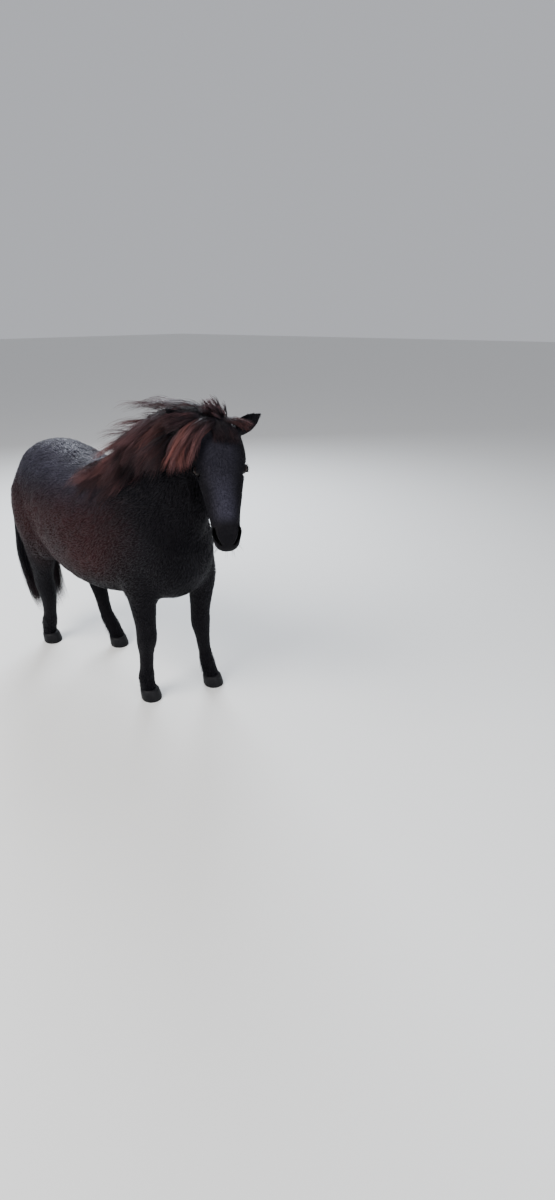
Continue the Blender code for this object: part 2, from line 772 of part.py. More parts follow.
def lock_of(points, normals, width, thickness):
    """One flat, tapered lock along points, a lens across, that ends in a tip."""
    mesh = bmesh.new()
    last = len(points) - 1
    rings = []
    for i, (point, normal) in enumerate(zip(points, normals)):
        share = i / last
        along = (points[min(i + 1, last)] - points[max(i - 1, 0)]).normalized()
        side = along.cross(normal).normalized()
        out = side.cross(along)
        if share < 0.66:
            fullness = 0.72 + 0.28 * math.sin(math.pi * share * 1.5)
        else:
            fullness = 0.72 - 0.64 * ((share - 0.66) / 0.34) ** 1.4
        wide, deep = width / 2 * fullness, thickness / 2 * (0.55 + 0.45 * fullness)
        rings.append([point + side * wide, point + out * deep, point - side * wide, point - out * deep])
    add_loft(mesh, rings)
    bmesh.ops.triangulate(mesh, faces=mesh.faces)
    return link("lock", mesh)


def lie_along(tree, start, aim, length, steps, height, sway=0.0, phase=0.0):
    """Points of a lock and the way out of the body at each. It starts under the skin and keeps over it."""
    near, normal, _, _ = tree.find_nearest(start)
    points, normals = [near - normal * 0.012 - aim(0).normalized() * 0.026], [normal]
    point = near + normal * height(0.0)
    points.append(point.copy())
    normals.append(normal.copy())
    for k in range(1, steps + 1):
        share = k / steps
        step = aim(share).normalized()
        across = step.cross(normal).normalized()
        step = (step + across * sway * math.sin(phase + share * 5.0)).normalized()
        point = point + step * length / steps
        near, face_normal, _, distance = tree.find_nearest(point)
        if (point - near).dot(face_normal) < 0:
            distance = -distance
        if distance < height(share):
            point = near + face_normal * height(share)
        normal = (normal * 0.4 + face_normal * 0.6).normalized()
        points.append(point.copy())
        normals.append(normal.copy())
    return points, normals


def blend_of(*vectors):
    """A direction that turns evenly through several."""
    def aim(share):
        place = share * (len(vectors) - 1)
        k = min(int(place), len(vectors) - 2)
        return Vector(vectors[k]).lerp(Vector(vectors[k + 1]), place - k)
    return aim


def rise_of(low, high):
    """A height over the body that grows evenly from a lock's root to its tip."""
    return lambda share: low + (high - low) * share


def crest_point(share):
    """A place on the crest of the neck, from the withers at 0 to the poll at 1."""
    rows = between(NECK, 3)
    place = (0.17 + 0.80 * share) * (len(rows) - 1)
    i = int(place)
    row = tuple(a + (b - a) * (place - i) for a, b in zip(rows[i], rows[i + 1]))
    side, crest = neck_axes(rows, i)
    return Vector(row[:3]) + crest * row[3], side


def build_mane(tree):
    """Locks from the crest: a curtain on the right, raised ones swept back over it, and a few on the left."""
    dice = random.Random(SEED)
    plans = []
    for row, (count, shift, beside, shortest, more, width, thickness, low, high) in MANE.items():
        for i in range(count):
            root, left = crest_point((i + shift) / count)
            length = shortest + more * dice.random()
            plans.append((row, root + left * beside, length, width, thickness, low, high))
    made = []
    for row, start, length, width, thickness, low, high in plans:
        aim = blend_of(*MANE_WAYS[row])
        phase = dice.random() * 6.28
        height = rise_of(low, high)
        points, normals = lie_along(tree, start, aim, length, 5, height, 0.16, phase)
        made.append(lock_of(points, normals, width * (0.9 + 0.25 * dice.random()), thickness))
    return made


def build_forelock(tree):
    """Locks from the poll, swept over the forehead to the right, with a few toward the left ear."""
    dice = random.Random(SEED + 1)
    turn = head_frame().to_3x3()
    aim = blend_of(*(turn @ Vector(way) for way in FORELOCK_WAYS))
    made = []
    for i in range(FORELOCK):
        share = i / (FORELOCK - 1)
        start = in_head(0.000 + 0.020 * share, -0.020 + 0.034 * share, 0.020)
        length = 0.175 + 0.050 * dice.random() - 0.02 * share
        phase = dice.random() * 6.28
        points, normals = lie_along(tree, start, aim, length, 6, rise_of(0.004, 0.008), 0.14, phase)
        made.append(lock_of(points, normals, 0.034 + 0.006 * dice.random(), 0.011))
    aim = blend_of(*(turn @ Vector(way) for way in SIDE_FORELOCK_WAYS))
    for i in range(SIDE_FORELOCK):
        start = in_head(0.010 + 0.007 * i, 0.012 + 0.006 * i, 0.020)
        length = 0.075 + 0.012 * i
        points, normals = lie_along(tree, start, aim, length, 5, rise_of(0.004, 0.004), 0.10, i * 2.0)
        made.append(lock_of(points, normals, 0.024, 0.010))
    return made


def tail_line(share):
    """The middle of the tail, from the root at 0 to the lowest hair at 1."""
    place = share * (len(TAIL) - 1)
    i = min(int(place), len(TAIL) - 2)
    return Vector(curve_value(TAIL, i, place - i))


def build_tail():
    """A short fleshy dock with long locks that hang from it."""
    dice = random.Random(SEED + 2)
    dock = bmesh.new()
    middles = [tail_line(k / 7 * DOCK_SHARE) for k in range(8)]
    add_tube(dock, middles, [DOCK_RADIUS - 0.0024 * k for k in range(8)])
    locks = []
    for i in range(TAIL_LOCKS):
        turn = math.tau * (i * 0.382) + 0.3
        begin = 0.12 + 0.30 * (i / TAIL_LOCKS)
        end = 1.0 - 0.16 * dice.random()
        reach = 0.30 + 0.70 * ((i % 5) / 4)
        points, normals = [], []
        for k in range(7):
            t = k / 6
            share = begin + (end - begin) * t
            spread = (0.20 + 1.0 * math.sin(math.pi * min(1.0, 0.12 + 0.62 * t))) * reach
            out = Vector((math.cos(turn) * 0.028, math.sin(turn) * 0.066, 0)) * spread
            points.append(tail_line(share) + out * min(1.0, k * 0.7))
            normals.append(Vector((math.cos(turn), math.sin(turn) * 0.8, 0.05)).normalized())
        locks.append(lock_of(points, normals, *TAIL_LOCK))
    return link("tail", dock), locks


def tint(body, name, color, roughness):
    material = bpy.data.materials.new(name)
    material.use_nodes = True
    shader = material.node_tree.nodes["Principled BSDF"]
    shader.inputs["Base Color"].default_value = (*color, 1)
    shader.inputs["Roughness"].default_value = roughness
    body.data.materials.clear()
    body.data.materials.append(material)


def settle(bodies):
    """Moves everything so that the origin is under the middle of the box, on the ground."""
    corners = [vertex.co for body in bodies for vertex in body.data.vertices]
    low = [min(corner[i] for corner in corners) for i in range(3)]
    high = [max(corner[i] for corner in corners) for i in range(3)]
    move = Vector((-(low[0] + high[0]) / 2, -(low[1] + high[1]) / 2, -low[2]))
    for body in bodies:
        body.data.transform(Matrix.Translation(move))


def main():
    clear_scene()
    flesh = build_flesh()
    smooth_flesh(flesh)
    tree = BVHTree.FromObject(flesh, bpy.context.evaluated_depsgraph_get())
    head = build_head(flesh)
    nodes = part_body(flesh)
    head_tree = BVHTree.FromObject(head, bpy.context.evaluated_depsgraph_get())
    for name in ("left", "right"):
        nodes["ear_" + name] = build_ear(name)
    combine(head, [head_box("head_room")], "INTERSECT")
    keep_largest(head)
    sockets = []
    for side, name in ((1, "left"), (-1, "right")):
        nodes["eye_" + name] = build_eye("eye_" + name, side, EYE_RADIUS)
        sockets.append(build_eye("socket_" + name, side, EYE_RADIUS + 2 * GAP))
    combine(head, sockets, "DIFFERENCE")
    keep_largest(head)
    neck = nodes["neck"]
    combine(head, build_forelock(head_tree), "UNION")
    near = [swollen(nodes[name], name == "neck") for name in ("ear_left", "ear_right", "neck")]
    combine(head, near, "DIFFERENCE")
    keep_largest(head)
    nodes["head"] = head
    near = [swollen(nodes[name], name[:3] != "ear") for name in ("torso", "head", "ear_left", "ear_right")]
    combine(neck, build_mane(tree), "UNION")
    combine(neck, near, "DIFFERENCE")
    keep_largest(neck)
    for name, line in LEG_LINES.items():
        hoof = build_hoof(name, line)
        nodes[hoof.name] = hoof
    tail, locks = build_tail()
    combine(tail, locks, "UNION")
    near = [nodes[name] for name in ("torso", "hindleg_left", "hindleg_right")]
    combine(tail, [swollen(body) for body in near], "DIFFERENCE")
    keep_largest(tail)
    nodes["tail"] = tail
    remove(flesh)
    for name, body in nodes.items():
        body.name = name
        kind = "hoof" if "hoof" in name else "eye" if "eye" in name else "coat"
        color, roughness = SURFACES[kind]
        tint(body, name, color, roughness)
    settle(nodes.values())


main()
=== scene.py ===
"""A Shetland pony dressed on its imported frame: skin, coat, mane, forelock, tail, eyes, hooves and stage.

Metres, in the frame's own axes: +X toward the pony's front, +Y to its left, +Z up.
"""

import math

import bmesh
import bpy
import numpy as np
from mathutils import Matrix, Vector
from mathutils.bvhtree import BVHTree


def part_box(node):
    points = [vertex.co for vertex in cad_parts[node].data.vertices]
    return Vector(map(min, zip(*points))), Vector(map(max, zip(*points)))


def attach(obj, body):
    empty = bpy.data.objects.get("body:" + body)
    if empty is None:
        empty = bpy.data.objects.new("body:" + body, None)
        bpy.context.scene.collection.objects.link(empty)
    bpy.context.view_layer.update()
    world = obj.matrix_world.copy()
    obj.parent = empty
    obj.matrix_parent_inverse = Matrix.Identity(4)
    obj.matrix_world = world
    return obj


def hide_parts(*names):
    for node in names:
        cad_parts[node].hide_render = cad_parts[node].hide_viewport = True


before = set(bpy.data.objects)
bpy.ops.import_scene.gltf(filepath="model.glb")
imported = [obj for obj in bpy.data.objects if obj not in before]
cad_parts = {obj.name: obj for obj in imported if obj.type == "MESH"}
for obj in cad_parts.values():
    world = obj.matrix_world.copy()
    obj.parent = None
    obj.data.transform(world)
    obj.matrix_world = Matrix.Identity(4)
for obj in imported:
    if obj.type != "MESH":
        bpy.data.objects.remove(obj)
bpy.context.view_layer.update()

bl_info = {
    "name": "Shetland Pony",
    "version": (1, 0, 0),
    "blender": (4, 5, 0),
    "location": "View3D > Sidebar > Pony",
    "description": "Dresses the packed pony with its skin, coat, hair, eyes and hooves",
    "category": "Object",
}

FLESH = ("torso", "neck", "head", "foreleg_left", "foreleg_right", "hindleg_left", "hindleg_right",
         "ear_left", "ear_right")
TORSO, NECK, HEAD, FORE_LEFT, FORE_RIGHT, HIND_LEFT, HIND_RIGHT, EAR_LEFT, EAR_RIGHT = range(9)
LEGS = (FORE_LEFT, FORE_RIGHT, HIND_LEFT, HIND_RIGHT)
HEAD_PARTS = (HEAD, EAR_LEFT, EAR_RIGHT)
SIDES = {"left": 1, "right": -1}

# The head's own frame at the poll: u toward the muzzle, v to its left, w out of the face.
POLL = Vector((0.4991, 0.001, 1.148))
HEAD_YAW = math.radians(-42)
HEAD_PITCH = math.radians(52)
HEAD_TURN = Matrix.Rotation(HEAD_YAW, 4, "Z") @ Matrix.Rotation(HEAD_PITCH, 4, "Y")
HEAD_FRAME = Matrix.Translation(POLL) @ HEAD_TURN
EYE_LOOK = Vector((0.12, 0.84, 0.54)).normalized()
WHORL = (0.110, 0.0, 0.010)

# Voxels of the skins, and how deep the cores lie that are left when the thin locks of the solids go.
HEAD_GRAIN = 0.0027
HEAD_CORE = 0.0062
HEAD_VOXEL = 0.0029
BODY_GRAIN = 0.0055
BODY_CORE = 0.0095
BODY_EASED = 0.0060
BODY_VOXEL = 0.0076
CUTTER_GRAIN = 0.0020
# How much higher the trunk's skin lies than its coat's depth alone would put it.
TRUNK_RISE = 0.0012
# Where the back of the head, which the body skin holds too, ends: a place in the head and the way forward.
BACK_PLACE = (0.125, 0.0, -0.050)
BACK_WAY = Vector((0.845, 0.0, 0.535))

# Where the markings begin and are full, in metres: the painted bluish sheen on top of the back by height and
# toward the rump, the brown of the flank by height up and down, toward the rump and outwards, and the painted
# sheen down the face, which begins under the poll and ends over the muzzle.
BACK_SHEEN_UP, BACK_SHEEN_REAR = (0.70, 0.93), (-0.16, 0.06)
BROWN_UP, BROWN_TOP, BROWN_BACK, BROWN_OUT = (0.42, 0.66), (0.74, 0.90), (-0.26, -0.02), (0.05, 0.15)
FACE_SHEEN_DOWN, FACE_SHEEN_END = (0.02, 0.12), (0.310, 0.352)
BACK_SHEEN_SHARE, BROWN_SHARE, JAW_SHARE = 0.85, 0.80, 0.6

# Forms of the head in its own frame: ball centres with their half sizes, and lines.
BROW = ((0.148, 0.056, -0.022), (0.038, 0.020, 0.016))
LIP_AND_CHIN = (((0.392, 0.0, -0.084), (0.020, 0.034, 0.024)), ((0.362, 0.0, -0.108), (0.034, 0.027, 0.015)))
CHEEK_RIDGE = ((0.180, 0.055, -0.076), (0.232, 0.045, -0.081), (0.286, 0.035, -0.084))
EAR_ROOT = (0.047, 0.060, -0.016)
# The balls that join an ear to the head: how far each lies from the root toward the ear, and its radius.
EAR_BASE = ((-0.012, 0.023), (-0.004, 0.022), (0.004, 0.0205), (0.010, 0.0185))
# The left nostril's middle line, from its outer top to its inner bottom, and the way that it opens.
NOSTRIL = ((0.354, 0.0375, -0.0425), (0.367, 0.0370, -0.0455), (0.382, 0.0320, -0.0495),
           (0.396, 0.0215, -0.0555))
NOSTRIL_WAY = (0.68, 0.56, 0.47)
NOSTRIL_DEPTH = 0.010
NOSTRIL_STEPS = 22
# The line between the lips: its corners, how far it runs on to the front, its half width, and the groove.
LIP_CORNER, LIP_RUN, LIP_HALF = (0.322, -0.088), (0.104, -0.014), 0.056
LIP_RADIUS = 0.0046
LIP_DEPTH = 0.0042

# The ridges of the lids: rise over the eye's middle, height over the eyeball, radius at the corners, and
# how much more in the middle. The first is the edge of the upper lid.
LIDS = ((0.58, 0.0002, 0.0026, 0.0012), (-0.44, 0.0, 0.0024, 0.0008), (1.10, 0.0, 0.0020, 0.0026),
        (-0.95, -0.0012, 0.0016, 0.0020))
LID_STEPS = 23
# The hole between the lids: its half length, half heights over and under the middle, and its depth.
EYE_HOLE = (0.0145, 0.0085, 0.0070, 0.0035)
# Edges within the eye, as shares of its radius: the pupil's half width and half height, the iris, the cornea.
PUPIL = (0.30, 0.16)
IRIS_EDGE = 0.66
CORNEA_EDGE = 0.72
CORNEA_RISE = 0.06
PUPIL_TINT = (0.003, 0.004, 0.007)
EYEBALL_TINT = (0.006, 0.004, 0.004)

# Ways that the coat lies on the trunk, on the chest's left half, on the legs and on the neck.
TRUNK_LIE = (-0.86, 0.0, -0.42)
CHEST_LIE = (-0.10, 0.35, -1.0)
LEG_LIE = (-0.22, 0.0, -1.0)
NECK_LIE = (-0.62, 0.0, -0.62)

# Tufts on each part of the coat, and their finish.
COATS = {
    "coat_right": (19500, "trunk_coat"), "coat_right_fine": (9000, "trunk_coat"),
    "coat_left": (19500, "trunk_coat"), "coat_neck": (8500, "coat"), "coat_legs": (14500, "coat"),
    "coat_face": (16500, "coat"), "coat_ears": (3000, "coat"), "coat_feather": (2600, "coat"),
}
COAT_SEED, MANE_SEED, FORELOCK_SEED, TAIL_SEED = 40, 60, 70, 80

# The neck's crest: where it starts at the withers, how far it runs forward, and how far left it leans.
CREST_START, CREST_RUN, CREST_LEAN = 0.085, 0.400, 0.020
# How deep the hair's roots lie under the skin, and how far back of their place.
ROOT_DEPTH, ROOT_BACK = 0.012, 0.02

# The mane's layers: locks, strands in each, where along the crest they begin, roots left of the crest, ways
# from root to tip, lengths as shares of the longest, height over the neck at root and tip, and bleaching:
# how much, from where along the strand, and how warm.
MANE_LAYERS = {
    "mane_right": (90, 42, 0.0, -0.020,
                   ((-0.34, -0.78, -0.16), (-0.55, -0.40, -0.72), (-0.52, -0.22, -0.82)),
                   (0.68, 0.95), (0.004, 0.010), (0.34, 0.45, 0.45)),
    "mane_top": (100, 40, 0.0, -0.006,
                 ((-0.50, -0.62, 0.16), (-0.66, -0.58, -0.32), (-0.66, -0.40, -0.62), (-0.70, -0.30, -0.60)),
                 (0.64, 0.96), (0.010, 0.020), (0.82, 0.25, 0.50)),
    "mane_left": (52, 28, 0.0, 0.016,
                  ((-0.45, 0.75, 0.05), (-0.52, 0.40, -0.66), (-0.42, 0.22, -0.84)),
                  (0.45, 0.68), (0.004, 0.009), (0.30, 0.50, 0.40)),
    "mane_wisps": (60, 8, 0.25, -0.004,
                   ((-0.55, -0.35, 0.55), (-0.80, -0.45, 0.10), (-0.75, -0.45, -0.45)),
                   (0.40, 0.75), (0.012, 0.034), (0.78, 0.15, 0.25)),
}
# The forelock's rows, in the head's frame: locks, strands in each, where the roots lie along and across the
# head, disorder, and the rest as for the mane.
FORELOCK_ROWS = {
    "forelock": (50, 42, (-0.004, 0.026), (-0.028, 0.012), 0.13,
                 ((0.25, -0.75, 0.55), (0.55, -0.85, 0.05), (0.85, -0.50, -0.35), (1.0, -0.15, -0.20)),
                 (0.62, 1.0), (0.005, 0.013), (0.95, 0.12, 0.75)),
    "brow_hair": (24, 22, (-0.010, 0.020), (-0.030, 0.046), 0.13,
                  ((0.55, 0.15, 0.45), (0.85, 0.20, -0.10), (0.95, 0.10, -0.15)),
                  (0.30, 0.46), (0.004, 0.009), (0.10, 0.12, 0.30)),
    "ear_hair": (16, 22, (0.000, 0.022), (0.006, 0.034), 0.13,
                 ((0.05, 0.85, 0.45), (0.35, 0.90, 0.00), (0.60, 0.70, -0.30)),
                 (0.28, 0.45), (0.004, 0.008), (0.45, 0.12, 0.80)),
    "side_hair": (20, 22, (-0.012, 0.020), (-0.054, -0.030), 0.13,
                  ((-0.10, -0.85, 0.50), (0.05, -0.95, 0.05), (0.30, -0.70, -0.60)),
                  (0.34, 0.58), (0.006, 0.014), (0.40, 0.12, 0.30)),
    "poll_wisps": (38, 22, (-0.045, 0.014), (-0.044, 0.046), 0.38,
                   ((-0.50, -0.05, 0.75), (-0.60, -0.45, 0.35), (-0.30, -0.85, 0.00)),
                   (0.14, 0.31), (0.008, 0.034), (0.60, 0.12, 0.12)),
}
MANE_DISORDER = 0.10
HAIR_STEPS = 7
HAIR_WIDTH = 0.0014
# How far the strands of a lock spread from its middle line.
MANE_SPREAD = 0.019
FORELOCK_SPREAD = 0.011
TAIL_SPREAD = 0.020

TAIL_LOCKS = 120
TAIL_STRANDS = 36
TAIL_STEPS = 8
TAIL_WIDTH = 0.0022
# Half sizes of the tail's hair, along and across the pony.
TAIL_HALVES = (0.032, 0.066)
TAIL_BLEACH = (0.16, 0.6, 0.30)
DOCK_RADIUS = 0.029
DOCK_BALLS = 40

WHISKERS = 110
# Where the whiskers grow, in the head's frame: from and to, half the width, and heights.
WHISKER_AREA = ((0.335, 0.405), 0.045, (-0.125, -0.070))
WHISKER_WIDTH = 0.0007
LASH_LENGTHS = (0.004, 0.007)

# The hooves' rings and corners, how far their walls swell, and how deep their growth lines are.
HOOF_RINGS = 26
HOOF_SIDES = 56
HOOF_BULGE = 0.0030
GROWTH_LINE = 0.0004

# Finishes: roughness, specular level, sheen, scale and depth of the fine grain, and change of tone in it.
FINISHES = {
    "skin": (0.62, 0.07, 0.02, 420.0, 0.0008, 0.30),
    "trunk_coat": (0.50, 0.09, 0.02, 900.0, 0.0002, 0.20),
    "coat": (0.50, 0.055, 0.02, 900.0, 0.0002, 0.20),
    "mane": (0.45, 0.10, 0.02, 700.0, 0.0002, 0.25),
    "forelock": (0.45, 0.10, 0.02, 700.0, 0.0002, 0.25),
    "tail_hair": (0.45, 0.08, 0.02, 700.0, 0.0002, 0.25),
    "dock": (0.60, 0.07, 0.02, 420.0, 0.0008, 0.30),
    "whisker": (0.40, 0.20, 0.0, 900.0, 0.0001, 0.20),
    "eye": (0.14, 0.16, 0.0, 260.0, 0.00002, 0.25),
    "horn": (0.50, 0.13, 0.0, 160.0, 0.0008, 0.40),
}

# Lights: name, place, what it looks at, power, size and colour.
LIGHTS = (
    ("key", (-0.6, -2.6, 3.6), (0, 0, 0.6), 230, 2.2, (1.0, 0.97, 0.93)),
    ("rim", (-2.4, 2.2, 3.0), (0, 0, 0.7), 240, 1.8, (0.86, 0.92, 1.0)),
    ("front", (3.2, -0.6, 1.9), (0.3, 0, 0.8), 60, 2.0, (0.93, 0.96, 1.0)),
)
SKY_COLOUR = (0.92, 0.94, 1.0, 1)
SKY_STRENGTH = 0.56
FLOOR_HALF = 40

CAMERA_PLACE = Vector((1.7161, -1.3251, 1.42))
CAMERA_HEADING = Vector((-0.594, 0.805, 0))
CAMERA_PITCH = math.radians(27)
CAMERA_LENS = 16.68


def length_field(label, description, default, low, high):
    return bpy.props.FloatProperty(name=label, description=description, default=default, min=low, max=high,
                                   unit="LENGTH")


def colour_field(label, description, default):
    return bpy.props.FloatVectorProperty(name=label, description=description, subtype="COLOR", size=3,
                                         default=default)


class PonySizes(bpy.types.PropertyGroup):
    """Sizes of the skin, the coat and the long hair."""

    trunk_depth: length_field(
        "Trunk coat depth", "How far the skin lies under the coat's tips on the trunk", 0.0065, 0.001, 0.03)
    face_depth: length_field(
        "Face coat depth", "How far the skin lies under the coat's tips on the face", 0.0016, 0.0005, 0.01)
    trunk_tuft: length_field("Trunk tuft", "Length of a tuft on the flank and rump", 0.026, 0.005, 0.08)
    leg_tuft: length_field("Leg tuft", "Length of a tuft on the lower legs", 0.015, 0.004, 0.05)
    face_tuft: length_field("Face tuft", "Length of a tuft on the face", 0.0090, 0.002, 0.03)
    mane_length: length_field("Mane length", "Length of the longest locks of the mane", 0.34, 0.05, 0.6)
    forelock_length: length_field(
        "Forelock length", "Length of the longest locks of the forelock", 0.25, 0.05, 0.4)
    whisker: length_field("Whisker", "Length of the whiskers on the lips and chin", 0.030, 0.005, 0.08)


class PonyColours(bpy.types.PropertyGroup):
    """Colours of the coat, the hair, the eyes and the hooves."""

    black: colour_field("Black", "The coat's main colour", (0.0044, 0.0038, 0.0052))
    # Painted sheen: this bluish grey is laid on the top of the back and rump and down the face, and on the
    # jaw's strip.
    sheen_and_jaw_grey: colour_field("Grey", "The slate tone of the rump, the back and the face", (0.034, 0.032, 0.047))
    brown: colour_field("Brown", "The faded red-brown of the flank", (0.036, 0.0135, 0.0145))
    mane: colour_field("Mane", "The faded brown of the long hair", (0.120, 0.064, 0.073))
    rust: colour_field("Rust", "The sun-bleached tips of the long hair", (0.218, 0.080, 0.069))
    horn: colour_field("Horn", "The hooves", (0.0065, 0.0063, 0.0075))
    iris: colour_field("Iris", "The ring round the pupil", (0.014, 0.007, 0.005))
    floor: colour_field("Floor", "The plain floor", (0.74, 0.74, 0.73))


def sizes():
    return bpy.context.scene.pony_sizes


def colours():
    return bpy.context.scene.pony_colours


def in_head(u, v, w):
    return HEAD_FRAME @ Vector((u, v, w))


def ear_root(side):
    ahead, aside, out = EAR_ROOT
    return in_head(ahead, side * aside, out)


def unit(vectors):
    """Vectors made one long, along the last axis of an array."""
    return vectors / np.maximum(np.linalg.norm(vectors, axis=-1, keepdims=True), 1e-9)


def ripple(points, scale, seed):
    """A smooth wave from about -1 to 1 through space, of a rough wavelength of 1 / scale."""
    dice = np.random.default_rng(seed)
    total = np.zeros(len(points))
    for _ in range(5):
        direction = unit(dice.normal(size=3)) * scale * dice.uniform(4.0, 8.5)
        total += np.sin(points @ direction + dice.uniform(0, 6.28))
    return total / 3.2


def step(values, low, high):
    """A smooth rise from 0 at `low` to 1 at `high`."""
    share = np.clip((values - low) / (high - low), 0, 1)
    return share * share * (3 - 2 * share)


def head_places(points):
    """Points in the head's own frame."""
    inverse = np.array(HEAD_FRAME.inverted())
    return points @ inverse[:3, :3].T + inverse[:3, 3]


def markings(points, region):
    """The coat's colour at points: black, a painted bluish sheen on top and down the face, faded brown on the
    flank.
    """
    tone = colours()
    x, y, z = points.T
    black, sheen_and_jaw_grey, brown = np.array(tone.black), np.array(tone.sheen_and_jaw_grey), np.array(tone.brown)
    mottle = ripple(points, 2.2, 3) * 0.5 + ripple(points, 6.5, 4) * 0.5
    trunk = np.isin(region, (TORSO, NECK)).astype(float)
    # Painted sheen: the top of the back and rump turns bluish grey with height, where sky light falls on the
    # coat.
    top = step(z + 0.035 * mottle, *BACK_SHEEN_UP) * step(-x, *BACK_SHEEN_REAR) * trunk
    flank = step(z + 0.05 * mottle, *BROWN_UP) * (1 - step(z, *BROWN_TOP)) * ~np.isin(region, HEAD_PARTS)
    flank = flank * step(-x + 0.04 * mottle, *BROWN_BACK) * step(np.abs(y), *BROWN_OUT)
    u, v, w = head_places(points).T
    # Painted sheen: a lighter bluish strip down the front of the face, brightest down the nose, with the
    # sides left black.
    wide = 0.062 - 0.022 * step(u, 0.14, 0.26) + 0.004 * mottle
    face = (region == HEAD) * step(w, -0.080, -0.010) * step(u, *FACE_SHEEN_DOWN) * (1 - step(u, *FACE_SHEEN_END))
    face = face * (1 - step(np.abs(v), wide - 0.036, wide + 0.016)) * (0.42 + 0.42 * step(u, 0.17, 0.26))
    jaw = (region == HEAD) * step(-w, 0.075, 0.115) * step(u, 0.20, 0.27) * (1 - step(u, 0.36, 0.40))
    shade = black[None, :] * (1 + 0.25 * mottle[:, None])
    face_sheen_and_jaw = np.maximum(face, jaw * JAW_SHARE)
    for share, colour in ((top * BACK_SHEEN_SHARE, sheen_and_jaw_grey), (flank * BROWN_SHARE, brown), (face_sheen_and_jaw, sheen_and_jaw_grey)):
        share = np.clip(share * (1 + 0.35 * mottle), 0, 1)[:, None]
        shade = shade * (1 - share) + colour * share
    return np.clip(shade, 0.001, 1)


def unwrap(points, region):
    """Places on an unwrap of the skin: each part is rolled out round its own long axis in its own cell."""
    out = np.zeros((len(points), 2))
    for part in range(len(FLESH)):
        chosen = region == part
        if not chosen.any():
            continue
        low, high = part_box(FLESH[part])
        local = points[chosen] - np.array((low + high) / 2)
        if part in LEGS:
            along, across, up = local[:, 2], local[:, 0], local[:, 1]
        elif part == HEAD:
            own = head_places(points[chosen]) - np.array((0.2, 0, -0.08))
            along, across, up = own[:, 0], own[:, 1], own[:, 2]
        else:
            along, across, up = local[:, 0], local[:, 1], local[:, 2]
        reach = max(high - low) * 0.62
        turn = np.arctan2(across, up) / (2 * math.pi) + 0.5
        column, row = part % 3, part // 3
        out[chosen, 0] = (column + 0.04 + 0.92 * np.clip(0.5 + 0.5 * along / reach, 0, 1)) / 3
        out[chosen, 1] = (row + 0.04 + 0.92 * turn) / 3
    return out


def finish_piece(piece, material):
    """Gives a piece its material and its body."""
    piece.data.materials.clear()
    piece.data.materials.append(material)
    piece.data.polygons.foreach_set("use_smooth", np.ones(len(piece.data.polygons), bool))
    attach(piece, "root")


def new_piece(name, builder):
    mesh = bpy.data.meshes.new(name)
    builder.to_mesh(mesh)
    builder.free()
    piece = bpy.data.objects.new(name, mesh)
    bpy.context.scene.collection.objects.link(piece)
    return piece


def bake_modifiers(piece):
    graph = bpy.context.evaluated_depsgraph_get()
    mesh = bpy.data.meshes.new_from_object(piece.evaluated_get(graph))
    piece.modifiers.clear()
    piece.data = mesh


def remesh(piece, voxel, smoothing):
    modifier = piece.modifiers.new("voxels", "REMESH")
    modifier.mode = "VOXEL"
    modifier.voxel_size = voxel
    if smoothing:
        modifier = piece.modifiers.new("ease", "SMOOTH")
        modifier.factor = 0.5
        modifier.iterations = smoothing
    bake_modifiers(piece)


def core_of(piece, voxel, depth):
    """Leaves only what is deeper than `depth` under the surface, so that thin locks go."""
    tree = bpy.data.node_groups.new("core", "GeometryNodeTree")
    tree.interface.new_socket("Geometry", in_out="INPUT", socket_type="NodeSocketGeometry")
    tree.interface.new_socket("Geometry", in_out="OUTPUT", socket_type="NodeSocketGeometry")
    entry, leave = tree.nodes.new("NodeGroupInput"), tree.nodes.new("NodeGroupOutput")
    volume = tree.nodes.new("GeometryNodeMeshToVolume")
    volume.resolution_mode = "VOXEL_SIZE"
    volume.inputs["Voxel Size"].default_value = voxel
    volume.inputs["Interior Band Width"].default_value = depth * 2
    surface = tree.nodes.new("GeometryNodeVolumeToMesh")
    surface.inputs["Threshold"].default_value = 0.5
    tree.links.new(entry.outputs[0], volume.inputs["Mesh"])
    tree.links.new(volume.outputs[0], surface.inputs["Volume"])
    tree.links.new(surface.outputs[0], leave.inputs[0])
    piece.modifiers.new("core", "NODES").node_group = tree
    bake_modifiers(piece)
    bpy.data.node_groups.remove(tree)


def vertex_arrays(piece):
    """A piece's vertices and their normals."""
    count = len(piece.data.vertices)
    points, normals = np.zeros(count * 3), np.zeros(count * 3)
    piece.data.vertices.foreach_get("co", points)
    piece.data.vertices.foreach_get("normal", normals)
    return points.reshape(-1, 3), normals.reshape(-1, 3)


def move_vertices(piece, points):
    piece.data.vertices.foreach_set("co", points.ravel())
    piece.data.update()


def swell(piece, amount):
    """Moves the surface out along its normals."""
    points, normals = vertex_arrays(piece)
    move_vertices(piece, points + normals * amount)


def largest_part(piece):
    """Drops all but the largest separate surface."""
    builder = bmesh.new()
    builder.from_mesh(piece.data)
    unseen, groups = set(builder.verts), []
    while unseen:
        stack, group = [unseen.pop()], []
        while stack:
            vertex = stack.pop()
            group.append(vertex)
            for edge in vertex.link_edges:
                other = edge.other_vert(vertex)
                if other in unseen:
                    unseen.discard(other)
                    stack.append(other)
        groups.append(group)
    groups.sort(key=len)
    for group in groups[:-1]:
        bmesh.ops.delete(builder, geom=group, context="VERTS")
    builder.to_mesh(piece.data)
    builder.free()


